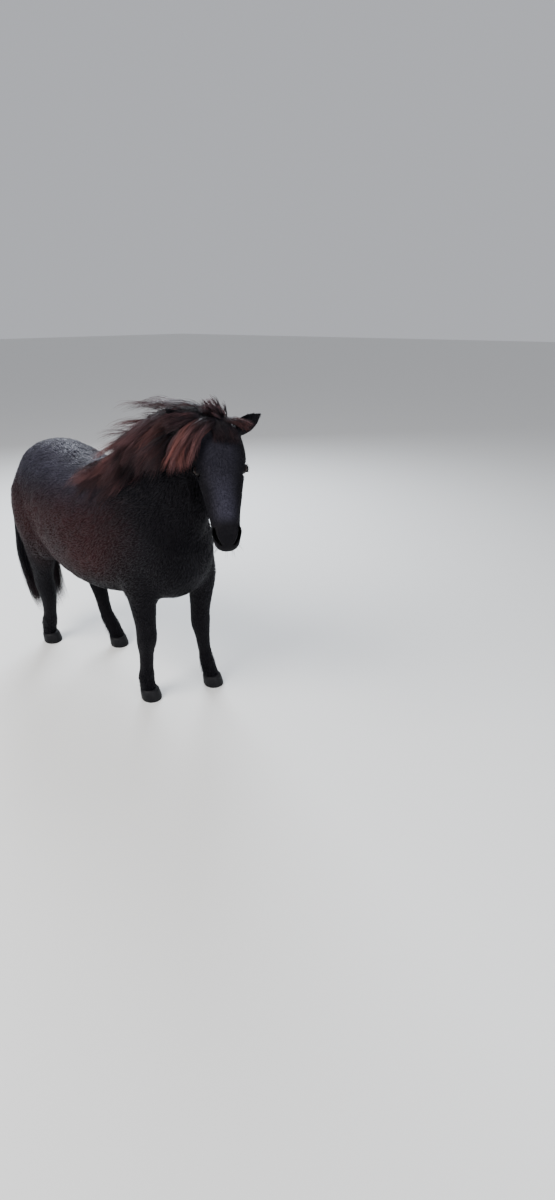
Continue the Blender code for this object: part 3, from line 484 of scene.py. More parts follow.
def add_node_copy(builder, name, grown=0.0007, subdivisions=0):
    """Adds a merged copy of a frame node, a little larger, so that neighbours overlap."""
    copy = bmesh.new()
    copy.from_mesh(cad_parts[name].data)
    bmesh.ops.remove_doubles(copy, verts=copy.verts, dist=0.00001)
    if subdivisions:
        bmesh.ops.subdivide_edges(copy, edges=copy.edges, cuts=subdivisions, use_grid_fill=True, smooth=0.6)
    copy.normal_update()
    for vertex in copy.verts:
        vertex.co += vertex.normal * grown
    mesh = bpy.data.meshes.new("copy")
    copy.to_mesh(mesh)
    copy.free()
    builder.from_mesh(mesh)
    bpy.data.meshes.remove(mesh)


def bead_line(builder, points, radii):
    """A thick line of overlapping balls, which the voxels join into one ridge."""
    for point, radius in zip(points, radii):
        bmesh.ops.create_icosphere(builder, subdivisions=2, radius=radius, matrix=Matrix.Translation(point))


def add_ball(builder, centre, halves):
    """Adds an egg shape to the head, with its three half sizes along the head's axes."""
    here = HEAD_FRAME @ Matrix.Translation(centre) @ Matrix.Diagonal((*halves, 1))
    bmesh.ops.create_icosphere(builder, subdivisions=4, radius=1, matrix=here)


def eye_of(name):
    """The middle of an eye and its radius, from the frame."""
    low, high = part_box("eye_" + name)
    return (low + high) / 2, (high.z - low.z) / 2


def eye_axes(name):
    """Where an eye looks, along it to the front corner, and up across it."""
    side = SIDES[name]
    look = Vector((EYE_LOOK.x, EYE_LOOK.y * side, EYE_LOOK.z))
    along = (Vector((1, 0, -0.12)) - look * look.dot(Vector((1, 0, -0.12)))).normalized()
    up = along.cross(look) * -side
    turn = HEAD_TURN.to_3x3()
    return turn @ look, turn @ along, turn @ up


def lid_line(name, lift, out, count=LID_STEPS):
    """Points along the edge of a lid, `lift` above or below the middle, from corner to corner."""
    centre, radius = eye_of(name)
    look, along, up = eye_axes(name)
    points = []
    for i in range(count):
        angle = math.pi * i / (count - 1)
        direction = look + along * math.cos(angle) * 0.90 + up * math.sin(angle) * lift
        points.append(centre + direction.normalized() * (radius + out))
    return points


def add_lids(builder, name):
    """The edges of the upper and lower lid, and the folds over and under them."""
    arch = [math.sin(math.pi * i / (LID_STEPS - 1)) for i in range(LID_STEPS)]
    for lift, out, radius, more in LIDS:
        bead_line(builder, lid_line(name, lift, out), [radius + more * a for a in arch])


def nostril_path(side):
    """The middle of a nostril's opening, from its outer top to its inner bottom."""
    return spread_line([in_head(u, side * v, w) for u, v, w in NOSTRIL], NOSTRIL_STEPS)


def nostril_way(side):
    """The way that a nostril opens."""
    ahead, aside, out = NOSTRIL_WAY
    return HEAD_TURN.to_3x3() @ Vector((ahead, aside * side, out))


def nostril_radius(i):
    """The opening's half width, narrow at both ends."""
    return 0.0048 + 0.0052 * math.sin(math.pi * (0.15 + 0.70 * i / (NOSTRIL_STEPS - 1)))


def nostril_beads(side):
    """The balls that open a nostril: a curved slit that runs back into the head."""
    back = -nostril_way(side)
    beads = []
    for i, place in enumerate(nostril_path(side)):
        radius = nostril_radius(i)
        beads += [(place + back * 0.3 * radius, radius), (place + back * NOSTRIL_DEPTH, 0.8 * radius)]
    return beads


def nostril_flesh(side):
    """The balls of the wings round a nostril, a little proud of the muzzle."""
    outward = nostril_way(side)
    line = nostril_path(side)
    beads = []
    for i, place in enumerate(line):
        ahead = line[min(i + 1, NOSTRIL_STEPS - 1)] - line[max(i - 1, 0)]
        across = ahead.cross(outward).normalized() * side
        radius = nostril_radius(i)
        beads.append((place - outward * 0.0075, 0.0100))
        beads.append((place + across * (radius + 0.0020) - outward * 0.001, 0.0048))
        beads.append((place - across * (radius + 0.0015) - outward * 0.002, 0.0040))
    return beads


def nostril_gap(points):
    """1 on the skin, falling to nearly 0 inside the nostrils; the skin's colour takes it as painted shade."""
    share = np.ones(len(points))
    for side in SIDES.values():
        for place, radius in nostril_beads(side):
            gap = np.linalg.norm(points - np.array(place), axis=1)
            share = np.minimum(share, 0.03 + 0.97 * step(gap, radius + 0.0004, radius + 0.0028))
    return share


def combine(piece, other, operation):
    """Joins another solid to a piece or cuts it out, and removes the other."""
    modifier = piece.modifiers.new("combine", "BOOLEAN")
    modifier.operation = operation
    modifier.solver = "MANIFOLD"
    modifier.object = other
    bake_modifiers(piece)
    bpy.data.objects.remove(other)


def cut_away(piece, beads):
    """Cuts a row of overlapping balls out of a piece."""
    builder = bmesh.new()
    bead_line(builder, *zip(*beads))
    cutter = new_piece("cutter", builder)
    remesh(cutter, CUTTER_GRAIN, 2)
    combine(piece, cutter, "DIFFERENCE")


def spread_line(points, count):
    """Points spread evenly over a broken line."""
    out = []
    for i in range(count):
        place = i / (count - 1) * (len(points) - 1)
        k = min(int(place), len(points) - 2)
        out.append(points[k].lerp(points[k + 1], place - k))
    return out


def press(piece, line, radius, depth):
    """Pushes the surface in along a line of points, deepest on the line itself."""
    points, normals = vertex_arrays(piece)
    line = np.array([tuple(point) for point in line])
    near = np.abs(points - line.mean(0)).max(1) < np.ptp(line, axis=0).max() + radius
    chosen = np.flatnonzero(near)
    gaps = np.linalg.norm(points[chosen, None] - line[None], axis=2) / radius
    share = np.clip(1 - gaps.min(1) ** 2, 0, 1)[:, None]
    points[chosen] -= normals[chosen] * depth * share
    move_vertices(piece, points)


def lip_line(tree):
    """The line between the lips on the head's surface, from corner to corner round the muzzle."""
    (ahead, out), (run, rise) = LIP_CORNER, LIP_RUN
    places = []
    for i in range(41):
        angle = math.pi * (i / 40 - 0.5)
        reach = max(0.0, math.cos(angle)) ** 0.8
        guess = in_head(ahead + run * reach, -LIP_HALF * math.sin(angle), out + rise * reach)
        places.append(tree.find_nearest(guess)[0])
    return spread_line(places, 140)


def surface_tree(piece):
    return BVHTree.FromObject(piece, bpy.context.evaluated_depsgraph_get())


def tree_of(name):
    """A search tree over one node of the frame."""
    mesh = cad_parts[name].data
    corners = [vertex.co for vertex in mesh.vertices]
    return BVHTree.FromPolygons(corners, [list(face.vertices) for face in mesh.polygons])


def thicken_coat(head, reach=0.075):
    """Sinks the head's skin toward the neck, where the coat grows longer."""
    tree = tree_of("neck")
    points, normals = vertex_arrays(head)
    gaps = [tree.find_nearest(Vector(point), reach)[3] for point in points]
    share = np.array([0.0 if gap is None else 1 - gap / reach for gap in gaps])
    sunk = (sizes().trunk_depth + 0.0006 - sizes().face_depth) * step(share, 0.0, 0.8)
    move_vertices(head, points - normals * sunk[:, None])


def ease_seam(piece, reach=0.050):
    """Eases the skin where the short coat of the head meets the long coat of the neck."""
    trees = [tree_of(name) for name in ("head", "neck")]
    group = piece.vertex_groups.new(name="seam")
    for vertex in piece.data.vertices:
        gaps = [tree.find_nearest(vertex.co, reach)[3] for tree in trees]
        if None not in gaps:
            group.add([vertex.index], min(1.0, 1.6 * (1 - max(gaps) / reach)), "REPLACE")
    modifier = piece.modifiers.new("ease", "SMOOTH")
    modifier.factor = 0.5
    modifier.iterations = 60
    modifier.vertex_group = "seam"
    bake_modifiers(piece)


def make_head_skin():
    """The head with its ears, brows, lids, nostrils, lips and chin, finer than the rest."""
    builder = bmesh.new()
    add_node_copy(builder, "head", 0.0)
    head = new_piece("head_skin", builder)
    remesh(head, HEAD_GRAIN, 0)
    core_of(head, HEAD_GRAIN, HEAD_CORE)
    largest_part(head)
    remesh(head, HEAD_GRAIN, 8)
    swell(head, HEAD_CORE - sizes().face_depth)
    builder = bmesh.new()
    builder.from_mesh(head.data)
    for name, side in SIDES.items():
        add_node_copy(builder, "ear_" + name, -0.0008, 2)
        low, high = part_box("ear_" + name)
        toward = ((low + high) / 2 - ear_root(side)).normalized()
        bead_line(builder, *zip(*((ear_root(side) + toward * reach, radius) for reach, radius in EAR_BASE)))
        add_lids(builder, name)
        (ahead, aside, out), halves = BROW
        add_ball(builder, (ahead, side * aside, out), halves)
        ridge = spread_line([in_head(u, side * v, w) for u, v, w in CHEEK_RIDGE], 26)
        bead_line(builder, ridge, [0.0100 - 0.0002 * i for i in range(26)])
        bead_line(builder, *zip(*nostril_flesh(side)))
    for centre, halves in LIP_AND_CHIN:
        add_ball(builder, centre, halves)
    builder.to_mesh(head.data)
    builder.free()
    remesh(head, HEAD_VOXEL, 3)
    largest_part(head)
    thicken_coat(head)
    press(head, lip_line(surface_tree(head)), LIP_RADIUS, LIP_DEPTH)
    for name, side in SIDES.items():
        open_eye(head, name)
        cut_away(head, nostril_beads(side))
    return head


def open_eye(head, name):
    """Sinks the skin between the lids under the eyeball's surface."""
    half, over, under, depth = EYE_HOLE
    centre, radius = eye_of(name)
    look, along, up = eye_axes(name)
    for vertex in head.data.vertices:
        offset = vertex.co - centre
        a, b, c = offset.dot(along), offset.dot(up), offset.dot(look)
        if 0 < c < 0.03 and (a / half) ** 2 + (b / (over if b > 0 else under)) ** 2 < 1:
            low = math.sqrt(max(0.0, radius**2 - a * a - b * b)) - depth
            if c > low:
                vertex.co = centre + along * a + up * b + look * low


def make_body_skin():
    """The trunk, neck and legs as one surface, with the back of the head, which the fine head covers."""
    builder = bmesh.new()
    for name in ("torso", "neck", "foreleg_left", "foreleg_right", "hindleg_left", "hindleg_right"):
        add_node_copy(builder, name)
    back = bmesh.new()
    add_node_copy(back, "head")
    everything = [*back.verts, *back.edges, *back.faces]
    bmesh.ops.bisect_plane(back, geom=everything, plane_co=in_head(*BACK_PLACE),
                           plane_no=HEAD_TURN.to_3x3() @ BACK_WAY, clear_outer=True)
    bmesh.ops.holes_fill(back, edges=back.edges)
    mesh = bpy.data.meshes.new("back")
    back.to_mesh(mesh)
    back.free()
    builder.from_mesh(mesh)
    bpy.data.meshes.remove(mesh)
    body = new_piece("skin", builder)
    remesh(body, BODY_GRAIN, 0)
    core_of(body, BODY_GRAIN, BODY_CORE)
    largest_part(body)
    remesh(body, BODY_EASED, 6)
    swell(body, BODY_CORE - sizes().trunk_depth + TRUNK_RISE)
    remesh(body, BODY_VOXEL, 3)
    return body


def node_tree():
    """One search tree over the frame's flesh, and the part that each of its faces belongs to."""
    corners, faces, part = [], [], []
    for i, name in enumerate(FLESH):
        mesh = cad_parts[name].data
        start = len(corners)
        corners += [vertex.co.copy() for vertex in mesh.vertices]
        faces += [[start + v for v in face.vertices] for face in mesh.polygons]
        part += [i] * len(mesh.polygons)
    return BVHTree.FromPolygons(corners, faces), np.array(part)


def regions_of(points):
    tree, part = node_tree()
    return np.array([part[tree.find_nearest(Vector(point))[2]] for point in points])


def colour_vertices(piece, values):
    attribute = piece.data.attributes.new("tint", "FLOAT_COLOR", "POINT")
    colour = np.column_stack([values, np.ones(len(values))]).astype(np.float32)
    attribute.data.foreach_set("color", colour.ravel())


def tinted_material(name):
    """A finish that takes its colour from the piece's tint, with fine streaks, sheen and bump."""
    roughness, specular, sheen, fine_scale, fine_depth, variation = FINISHES[name]
    material = bpy.data.materials.new(name)
    material.use_nodes = True
    nodes, links = material.node_tree.nodes, material.node_tree.links
    shader = nodes["Principled BSDF"]
    shader.inputs["Roughness"].default_value = roughness
    shader.inputs["Specular IOR Level"].default_value = specular
    shader.inputs["Sheen Weight"].default_value = sheen
    shader.inputs["Sheen Roughness"].default_value = 0.45
    shader.inputs["Sheen Tint"].default_value = (0.78, 0.80, 1.0, 1)
    tint = nodes.new("ShaderNodeAttribute")
    tint.attribute_name = "tint"
    place = nodes.new("ShaderNodeTexCoord")
    noise = nodes.new("ShaderNodeTexNoise")
    noise.inputs["Scale"].default_value = fine_scale
    noise.inputs["Detail"].default_value = 4.0
    links.new(place.outputs["Object"], noise.inputs["Vector"])
    spread = nodes.new("ShaderNodeMapRange")
    spread.inputs["From Min"].default_value = 0.3
    spread.inputs["From Max"].default_value = 0.7
    spread.inputs["To Min"].default_value = 1.0 - variation
    spread.inputs["To Max"].default_value = 1.0 + variation
    links.new(noise.outputs["Fac"], spread.inputs["Value"])
    mix = nodes.new("ShaderNodeVectorMath")
    mix.operation = "SCALE"
    links.new(tint.outputs["Color"], mix.inputs[0])
    links.new(spread.outputs["Result"], mix.inputs["Scale"])
    links.new(mix.outputs[0], shader.inputs["Base Color"])
    bump = nodes.new("ShaderNodeBump")
    bump.inputs["Strength"].default_value = 0.5
    bump.inputs["Distance"].default_value = fine_depth
    links.new(noise.outputs["Fac"], bump.inputs["Height"])
    links.new(bump.outputs["Normal"], shader.inputs["Normal"])
    return material


def strand_mesh(name, paths, outs, widths, flatness, profile, tints, places):
    """One mesh of three-sided tapered strands.

    `paths` and `outs` hold each strand's points and the way out of the body there, `widths` its width,
    `profile` the share of it along the strand, `tints` its colours, and `places` its root on the unwrap.
    """
    strands, points = paths.shape[:2]
    along = unit(np.gradient(paths, axis=1))
    side = unit(np.cross(along, outs))
    out = np.cross(side, along)
    angles = np.arange(3) * 2 * math.pi / 3 + math.pi / 6
    half = (widths[:, None] * profile[None, :] / 2)[:, :-1, None, None]
    rings = paths[:, :-1, None] + half * (
        side[:, :-1, None] * np.cos(angles)[:, None] + out[:, :-1, None] * np.sin(angles)[:, None] * flatness)
    corners = np.concatenate([rings.reshape(strands, -1, 3), paths[:, -1:]], axis=1)
    per_strand = corners.shape[1]
    shape = [(0, 1, 2)]
    for k in range(points - 2):
        for i in range(3):
            j = (i + 1) % 3
            near, far = 3 * k, 3 * k + 3
            shape += [(near + i, far + i, far + j), (near + i, far + j, near + j)]
    last = 3 * (points - 2)
    shape += [(last + i, per_strand - 1, last + (i + 1) % 3) for i in range(3)]
    faces = (np.arange(strands)[:, None, None] * per_strand + np.array(shape)[None]).reshape(-1, 3)
    mesh = bpy.data.meshes.new(name)
    mesh.vertices.add(strands * per_strand)
    mesh.vertices.foreach_set("co", corners.astype(np.float32).ravel())
    mesh.loops.add(faces.size)
    mesh.loops.foreach_set("vertex_index", faces.astype(np.int32).ravel())
    mesh.polygons.add(len(faces))
    mesh.polygons.foreach_set("loop_start", np.arange(0, faces.size, 3, dtype=np.int32))
    mesh.update(calc_edges=True)
    piece = bpy.data.objects.new(name, mesh)
    bpy.context.scene.collection.objects.link(piece)
    shades = np.concatenate([np.repeat(tints[:, :-1], 3, axis=1), tints[:, -1:]], axis=1)
    colour_vertices(piece, shades.reshape(-1, 3))
    patch = np.array([((i - 1) * 0.0013, (k / (points - 1) - 0.5) * 0.0026)
                      for k in range(points - 1) for i in range(3)] + [(0, 0.0013)])
    spots = (places[:, None] + patch[None]).reshape(-1, 2)
    layer = mesh.uv_layers.new(name="OFBake")
    layer.data.foreach_set("uv", spots[faces.ravel()].astype(np.float32).ravel())
    return piece


def scatter(points, normals, faces, weight, count, dice):
    """Random places on a surface, as dense as `weight` says for each vertex, with their normals."""
    a, b, c = (points[faces[:, i]] for i in range(3))
    share = np.linalg.norm(np.cross(b - a, c - a), axis=1) * weight[faces].mean(1)
    chosen = dice.choice(len(faces), count, p=share / share.sum())
    first, second = dice.random(count), dice.random(count)
    flip = first + second > 1
    first[flip], second[flip] = 1 - first[flip], 1 - second[flip]
    blend = np.column_stack([1 - first - second, first, second])
    corner = faces[chosen]
    place = (points[corner] * blend[:, :, None]).sum(1)
    return place, unit((normals[corner] * blend[:, :, None]).sum(1)), corner[:, 0]


def lie_of_coat(points, normals, region):
    """The way the coat lies: back and down the trunk, down the legs, and out from the whorl over the face."""
    flow = np.tile(TRUNK_LIE, (len(points), 1))
    chest = step(points[:, 0], 0.24, 0.36)[:, None] * (region == TORSO)[:, None]
    chest_flow = np.tile(CHEST_LIE, (len(points), 1))
    chest_flow[:, 1] *= np.sign(points[:, 1])
    flow = flow * (1 - chest) + chest_flow * chest
    flow[np.isin(region, LEGS)] = LEG_LIE
    flow[region == NECK] = NECK_LIE
    from_whorl = points - np.array(in_head(*WHORL))
    down_face = np.array(HEAD_TURN.to_3x3() @ Vector((1, 0, -0.1)))
    on_head = region == HEAD
    flow[on_head] = unit(from_whorl[on_head]) * 0.8 + down_face * 0.6
    for part, name in ((EAR_LEFT, "left"), (EAR_RIGHT, "right")):
        low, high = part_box("ear_" + name)
        flow[region == part] = np.array((low + high) / 2 - ear_root(SIDES[name]))
    flow = unit(flow - normals * (flow * normals).sum(1)[:, None])
    wave = ripple(points, 4.0, 11) * 0.30 + ripple(points, 11.0, 12) * 0.32
    wave = np.where(np.isin(region, (TORSO, NECK)), wave, wave * 0.35)[:, None]
    return unit(flow * np.cos(wave) + np.cross(normals, flow) * np.sin(wave))


def make_tufts(name, arrays, weight, count, length, seed):
    """One coat piece: short tapered tufts that lie along the body and lift a little at their tips."""
    points, normals, faces, region = arrays
    dice = np.random.default_rng(seed)
    roots, out, corner = scatter(points, normals, faces, weight, count, dice)
    part = region[corner]
    lie = lie_of_coat(roots, out, part)
    turn = dice.normal(0, 0.16, count)[:, None]
    lie = unit(lie * np.cos(turn) + np.cross(out, lie) * np.sin(turn))
    clump = 0.5 + 0.5 * ripple(roots, 14.0, seed + 1)
    reach = (length(roots, part) * dice.uniform(0.72, 1.22, count))[:, None]
    rise = (coat_lift(roots, part) * (0.45 + 0.9 * clump) * dice.uniform(0.6, 1.4, count))[:, None]
    paths = np.stack([
        roots - out * 0.0012 - lie * reach * 0.06,
        roots + lie * reach * 0.46 + out * rise * 0.85,
        roots + lie * reach + out * rise * 0.95,
    ], axis=1)
    outs = np.repeat(out[:, None], 3, axis=1)
    spread = np.where(part == HEAD, 0.45, 1.0)
    tone = 1 + (dice.uniform(-0.25, 0.25, count) + 0.3 * (clump - 0.5)) * spread
    shade = markings(roots, part) * tone[:, None]
    # Each tuft is darker at its root, as painted shade where the tufts overlap, and lighter at its tip.
    tints = np.stack([shade * 0.8, shade, shade * 1.25], axis=1)
    widths = coat_width(roots, part) * dice.uniform(0.8, 1.25, count)
    profile = np.array((0.75, 1.0, 0.0))
    return strand_mesh(name, paths, outs, widths, 0.42, profile, np.clip(tints, 0, 1), unwrap(roots, part))


def guide(tree, start, ways, length, steps, low, high, sway, phase):
    """A lock's middle line over the body, and the way out of the body at each of its points."""
    near, normal, _, _ = tree.find_nearest(start)
    first = Vector(ways[0]).normalized()
    point = near + normal * low
    points, outs = [near - normal * ROOT_DEPTH - first * ROOT_BACK, point.copy()], [normal, normal]
    for k in range(1, steps + 1):
        share = k / steps
        place = share * (len(ways) - 1)
        i = min(int(place), len(ways) - 2)
        way = Vector(ways[i]).lerp(Vector(ways[i + 1]), place - i).normalized()
        across = way.cross(normal).normalized()
        way = (way + across * sway * math.sin(phase + share * 6.5)).normalized()
        point = point + way * length / steps
        near, face_normal, _, distance = tree.find_nearest(point)
        if (point - near).dot(face_normal) < 0:
            distance = -distance
        height = low + (high - low) * share
        if distance < height:
            point = near + face_normal * height
        normal = (normal * 0.5 + face_normal * 0.5).normalized()
        points.append(point.copy())
        outs.append(normal.copy())
    return np.array(points), np.array(outs)


def comb(name, guides, per_lock, spread, width, shade_of, seed, region):
    """Fine strands round each guide, wide at first and drawn together toward the tip."""
    dice = np.random.default_rng(seed)
    lines = np.array([line for line, _ in guides])
    outs = np.array([out for _, out in guides])
    count, points = lines.shape[:2]
    share = np.linspace(0, 1, points)
    along = unit(np.gradient(lines, axis=1))
    side = unit(np.cross(along, outs))
    angle = dice.uniform(0, 2 * math.pi, (count, per_lock))
    radius = np.sqrt(dice.uniform(0, 1, (count, per_lock)))
    fullness = 0.55 + 0.45 * np.sin(math.pi * np.minimum(1, share * 1.5))
    gather = spread * (fullness - 0.34 * share**2)
    across, up = radius * np.cos(angle), radius * np.sin(angle) * 0.45
    phase = dice.uniform(0, 6.28, (count, per_lock, 1))
    beat = dice.uniform(5.0, 11.0, (count, per_lock, 1))
    wave = np.sin(phase + beat * share[None, None]) * spread * 0.16 * share[None, None]
    loose = dice.normal(0, 0.55, (count, per_lock, 2)) * spread
    stray = share[None, None] ** 2
    swing = across[..., None] * gather[None, None] + wave + loose[..., :1] * stray
    shift = swing[..., None] * side[:, None]
    lift = up[..., None] * gather[None, None] + 0.6 * loose[..., 1:] * stray
    lifted = lift[..., None] * outs[:, None]
    cut = 1 - dice.uniform(0, 0.22, (count, per_lock, 1))
    picked = share[None, None] * cut
    base = np.empty((count, per_lock, points, 3))
    for axis in range(3):
        for i in range(count):
            base[i, :, :, axis] = np.interp(picked[i], share, lines[i, :, axis])
    paths = (base + shift + lifted).reshape(-1, points, 3)
    faced = np.repeat(outs[:, None], per_lock, axis=1).reshape(-1, points, 3)
    widths = width * dice.uniform(0.7, 1.3, count * per_lock)
    tip = np.clip((share - 0.6) / 0.4, 0, 1)
    profile = (0.75 + 0.4 * np.minimum(share, 0.6)) * (1 - tip**1.6)
    tints = shade_of(paths, share, np.repeat(np.arange(count), per_lock), dice)
    places = unwrap(paths[:, 1], np.full(len(paths), region))
    return strand_mesh(name, paths, faced, widths, 0.5, profile, np.clip(tints, 0.001, 1), places)


def crest(tree, share):
    """A place on the neck's crest, from the withers at 0 to the poll at 1."""
    above = Vector((CREST_START + CREST_RUN * share, CREST_LEAN * share, 1.6))
    return tree.ray_cast(above, Vector((0, 0, -1)))[0]


def sun_bleached(amount, start, warm, seed):
    """A shading of long hair: black at the root, brown to rust toward the tip, more on some locks."""
    def shade_of(paths, share, lock, dice):
        tone = colours()
        warmth = np.random.default_rng(seed + 30).uniform(0.3, 1.7, lock.max() + 1) * warm
        warmth = np.clip(warmth, 0, 1)[lock][:, None, None]
        rust = np.array(tone.mane) * (1 - warmth) + np.array(tone.rust) * warmth
        black = np.array(tone.black)
        per_lock = np.random.default_rng(seed).uniform(0.30, 1.15, lock.max() + 1)
        per_lock = per_lock * np.linspace(1.35, 0.80, lock.max() + 1)
        fade = np.clip(step(share, start, 0.98)[None] ** 1.3 * amount * per_lock[lock][:, None], 0, 1)
        fade = np.clip(fade * dice.uniform(0.6, 1.3, (len(paths), 1)), 0, 0.95)[..., None]
        base = black * dice.uniform(0.7, 1.9, (len(paths), 1, 1))
        own_rust = rust * dice.uniform(0.65, 1.35, (len(paths), 1, 1))
        return base * (1 - fade) + own_rust * fade
    return shade_of


class PONY_OT_skin(bpy.types.Operator):
    """Make the skin of the whole body, under the coat"""

    bl_idname = "pony.skin"
    bl_label = "Skin"

    def execute(self, context):
        head = make_head_skin()
        body = make_body_skin()
        combine(body, head, "UNION")
        largest_part(body)
        ease_seam(body)
        points, _ = vertex_arrays(body)
        region = regions_of(points)
        stored = body.data.attributes.new("region", "INT", "POINT")
        stored.data.foreach_set("value", region.astype(np.int32))
        shade = markings(points, region)
        # Painted shade: the head's skin is darkened to match the shaded face tufts that lie over it.
        shade[region == HEAD] *= 0.8
        # Painted shade: the skin turns nearly black inside the nostrils.
        colour_vertices(body, shade * nostril_gap(points)[:, None])
        finish_piece(body, tinted_material("skin"))
        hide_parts(*FLESH)
        return {"FINISHED"}


def skin_arrays():
    """The finished skin's points, normals, triangles and regions."""
    skin = bpy.data.objects["skin"]
    points, normals = vertex_arrays(skin)
    skin.data.calc_loop_triangles()
    faces = np.zeros(len(skin.data.loop_triangles) * 3, np.int32)
    skin.data.loop_triangles.foreach_get("vertices", faces)
    region = np.zeros(len(points), np.int32)
    skin.data.attributes["region"].data.foreach_get("value", region)
    return points, normals, faces.reshape(-1, 3), region


def beard(points):
    """1 under the jaw, where the coat hangs long, and 0 on the rest of the head."""
    u, _, w = head_places(points).T
    return step(-w, 0.080, 0.115) * step(u, 0.08, 0.14) * (1 - step(u, 0.325, 0.355))


def coat_length(points, part):
    """Tuft lengths: long on the flank and rump, shorter on the neck, short on the legs and face."""
    size = sizes()
    length = np.full(len(points), size.trunk_tuft)
    length = length * (0.72 + 0.28 * step(-points[:, 0], -0.30, 0.05))
    length[part == NECK] = size.trunk_tuft * 0.78
    legs = np.isin(part, LEGS)
    low = points[:, 2] < 0.16
    height = step(points[:, 2], 0.25, 0.50)
    length[legs] = (size.leg_tuft + (size.trunk_tuft * 0.8 - size.leg_tuft) * height)[legs]
    behind = legs & low & (points[:, 2] > 0.055)
    length[behind] = size.leg_tuft * 1.55
    u = head_places(points)[:, 0]
    on_head = part == HEAD
    face = size.face_tuft * (1 + 2.2 * beard(points) - 0.58 * step(u, 0.30, 0.36))
    length[on_head] = face[on_head]
    length[np.isin(part, (EAR_LEFT, EAR_RIGHT))] = size.face_tuft * 1.1
    return length


def feather_length(points, part):
    return np.full(len(points), sizes().leg_tuft * 2.8)


def coat_width(points, part):
    width = coat_length(points, part) * 0.060 + 0.0011
    return np.where(np.isin(part, (TORSO, NECK)), width, width * 0.78)


def coat_lift(points, part):
    lift = coat_length(points, part) * 0.15
    lift[~np.isin(part, (TORSO, NECK))] *= 0.55
    return lift * np.where(part == HEAD, 1 + 4.5 * beard(points), 1)


class PONY_OT_coat(bpy.types.Operator):
    """Cover the skin with tufts that lie along the body"""

    bl_idname = "pony.coat"
    bl_label = "Coat"

    def execute(self, context):
        arrays = skin_arrays()
        points, _, _, region = arrays
        trunk, neck = (region == TORSO).astype(float), (region == NECK).astype(float)
        legs = np.isin(region, LEGS) * (points[:, 2] > 0.052)
        ahead = head_places(points)[:, 0]
        face = (region == HEAD) * (1 - 0.5 * step(ahead, 0.36, 0.40))
        face = face * np.maximum(nostril_gap(points) - 0.03, 0)
        for name in SIDES:
            centre, radius = eye_of(name)
            gap = np.linalg.norm(points - np.array(centre), axis=1)
            face = face * step(gap, radius + 0.001, radius + 0.006)
        ears = np.isin(region, (EAR_LEFT, EAR_RIGHT)).astype(float)
        feather = np.isin(region, LEGS) * (points[:, 2] > 0.050) * (1 - step(points[:, 2], 0.075, 0.115))
        right = trunk * step(-points[:, 1], -0.004, 0.004)
        left = trunk * step(points[:, 1], -0.004, 0.004)
        finishes = {name: tinted_material(name) for name in ("trunk_coat", "coat")}
        share = 1.0
        weights = (right, right, left, neck, legs.astype(float), face, ears, feather)
        for i, ((name, (count, finish)), weight) in enumerate(zip(COATS.items(), weights)):
            length = feather_length if name == "coat_feather" else coat_length
            piece = make_tufts(name, arrays, weight, int(count * share), length, COAT_SEED + i)
            finish_piece(piece, finishes[finish])
        return {"FINISHED"}


def loose_lock(tree, dice, start, ways, turn, disorder, length, reach, heights, sway):
    """The guide of one lock, its ways turned and put a little out of order."""
    mixed = [turn @ Vector(np.array(way) + dice.normal(0, disorder, 3)) for way in ways]
    return guide(tree, start, mixed, length * dice.uniform(*reach), HAIR_STEPS, *heights,
                 dice.uniform(*sway), dice.uniform(0, 6.28))


class PONY_OT_mane(bpy.types.Operator):
    """Grow the mane: a dark curtain on the right, bleached locks over it, some on the left, and wisps"""

    bl_idname = "pony.mane"
    bl_label = "Mane"

    def execute(self, context):
        tree = surface_tree(bpy.data.objects["skin"])
        dice = np.random.default_rng(7)
        length, turn = sizes().mane_length, Matrix.Identity(3)
        hair = tinted_material("mane")
        for i, (name, layer) in enumerate(MANE_LAYERS.items()):
            count, strands, first, aside, ways, reach, heights, bleach = layer
            guides = []
            for k in range(count):
                share = first + (1 - first) * (k + dice.uniform(0, 1)) / count
                start = crest(tree, share) + Vector((0, aside * dice.uniform(0.5, 1.3), 0))
                guides.append(loose_lock(tree, dice, start, ways, turn, MANE_DISORDER, length, reach, heights,
                                         (0.10, 0.30)))
            shade = sun_bleached(*bleach, 1 + i)
            piece = comb(name, guides, strands, MANE_SPREAD, HAIR_WIDTH, shade, MANE_SEED + i, NECK)
            finish_piece(piece, hair)
        return {"FINISHED"}


class PONY_OT_forelock(bpy.types.Operator):
    """Grow the forelock, swept over the forehead to the right"""

    bl_idname = "pony.forelock"
    bl_label = "Forelock"

    def execute(self, context):
        tree = surface_tree(bpy.data.objects["skin"])
        dice = np.random.default_rng(9)
        length, turn = sizes().forelock_length, HEAD_TURN.to_3x3()
        hair = tinted_material("forelock")
        for i, (name, row) in enumerate(FORELOCK_ROWS.items()):
            count, strands, ahead, aside, disorder, ways, reach, heights, bleach = row
            guides = []
            for _ in range(count):
                start = in_head(dice.uniform(*ahead), dice.uniform(*aside), 0.02)
                guides.append(loose_lock(tree, dice, start, ways, turn, disorder, length, reach, heights,
                                         (0.08, 0.25)))
            shade = sun_bleached(*bleach, 5 + i)
            seed = FORELOCK_SEED + i
            piece = comb(name, guides, strands, FORELOCK_SPREAD, HAIR_WIDTH, shade, seed, HEAD)
            finish_piece(piece, hair)
        return {"FINISHED"}


def tail_middle(height):
    """The middle of the frame's tail at a height, from the vertices near it."""
    points = np.array([vertex.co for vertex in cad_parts["tail"].data.vertices])
    near = np.exp(-((points[:, 2] - height) / 0.035) ** 2)
    return Vector((points * near[:, None]).sum(0) / near.sum())


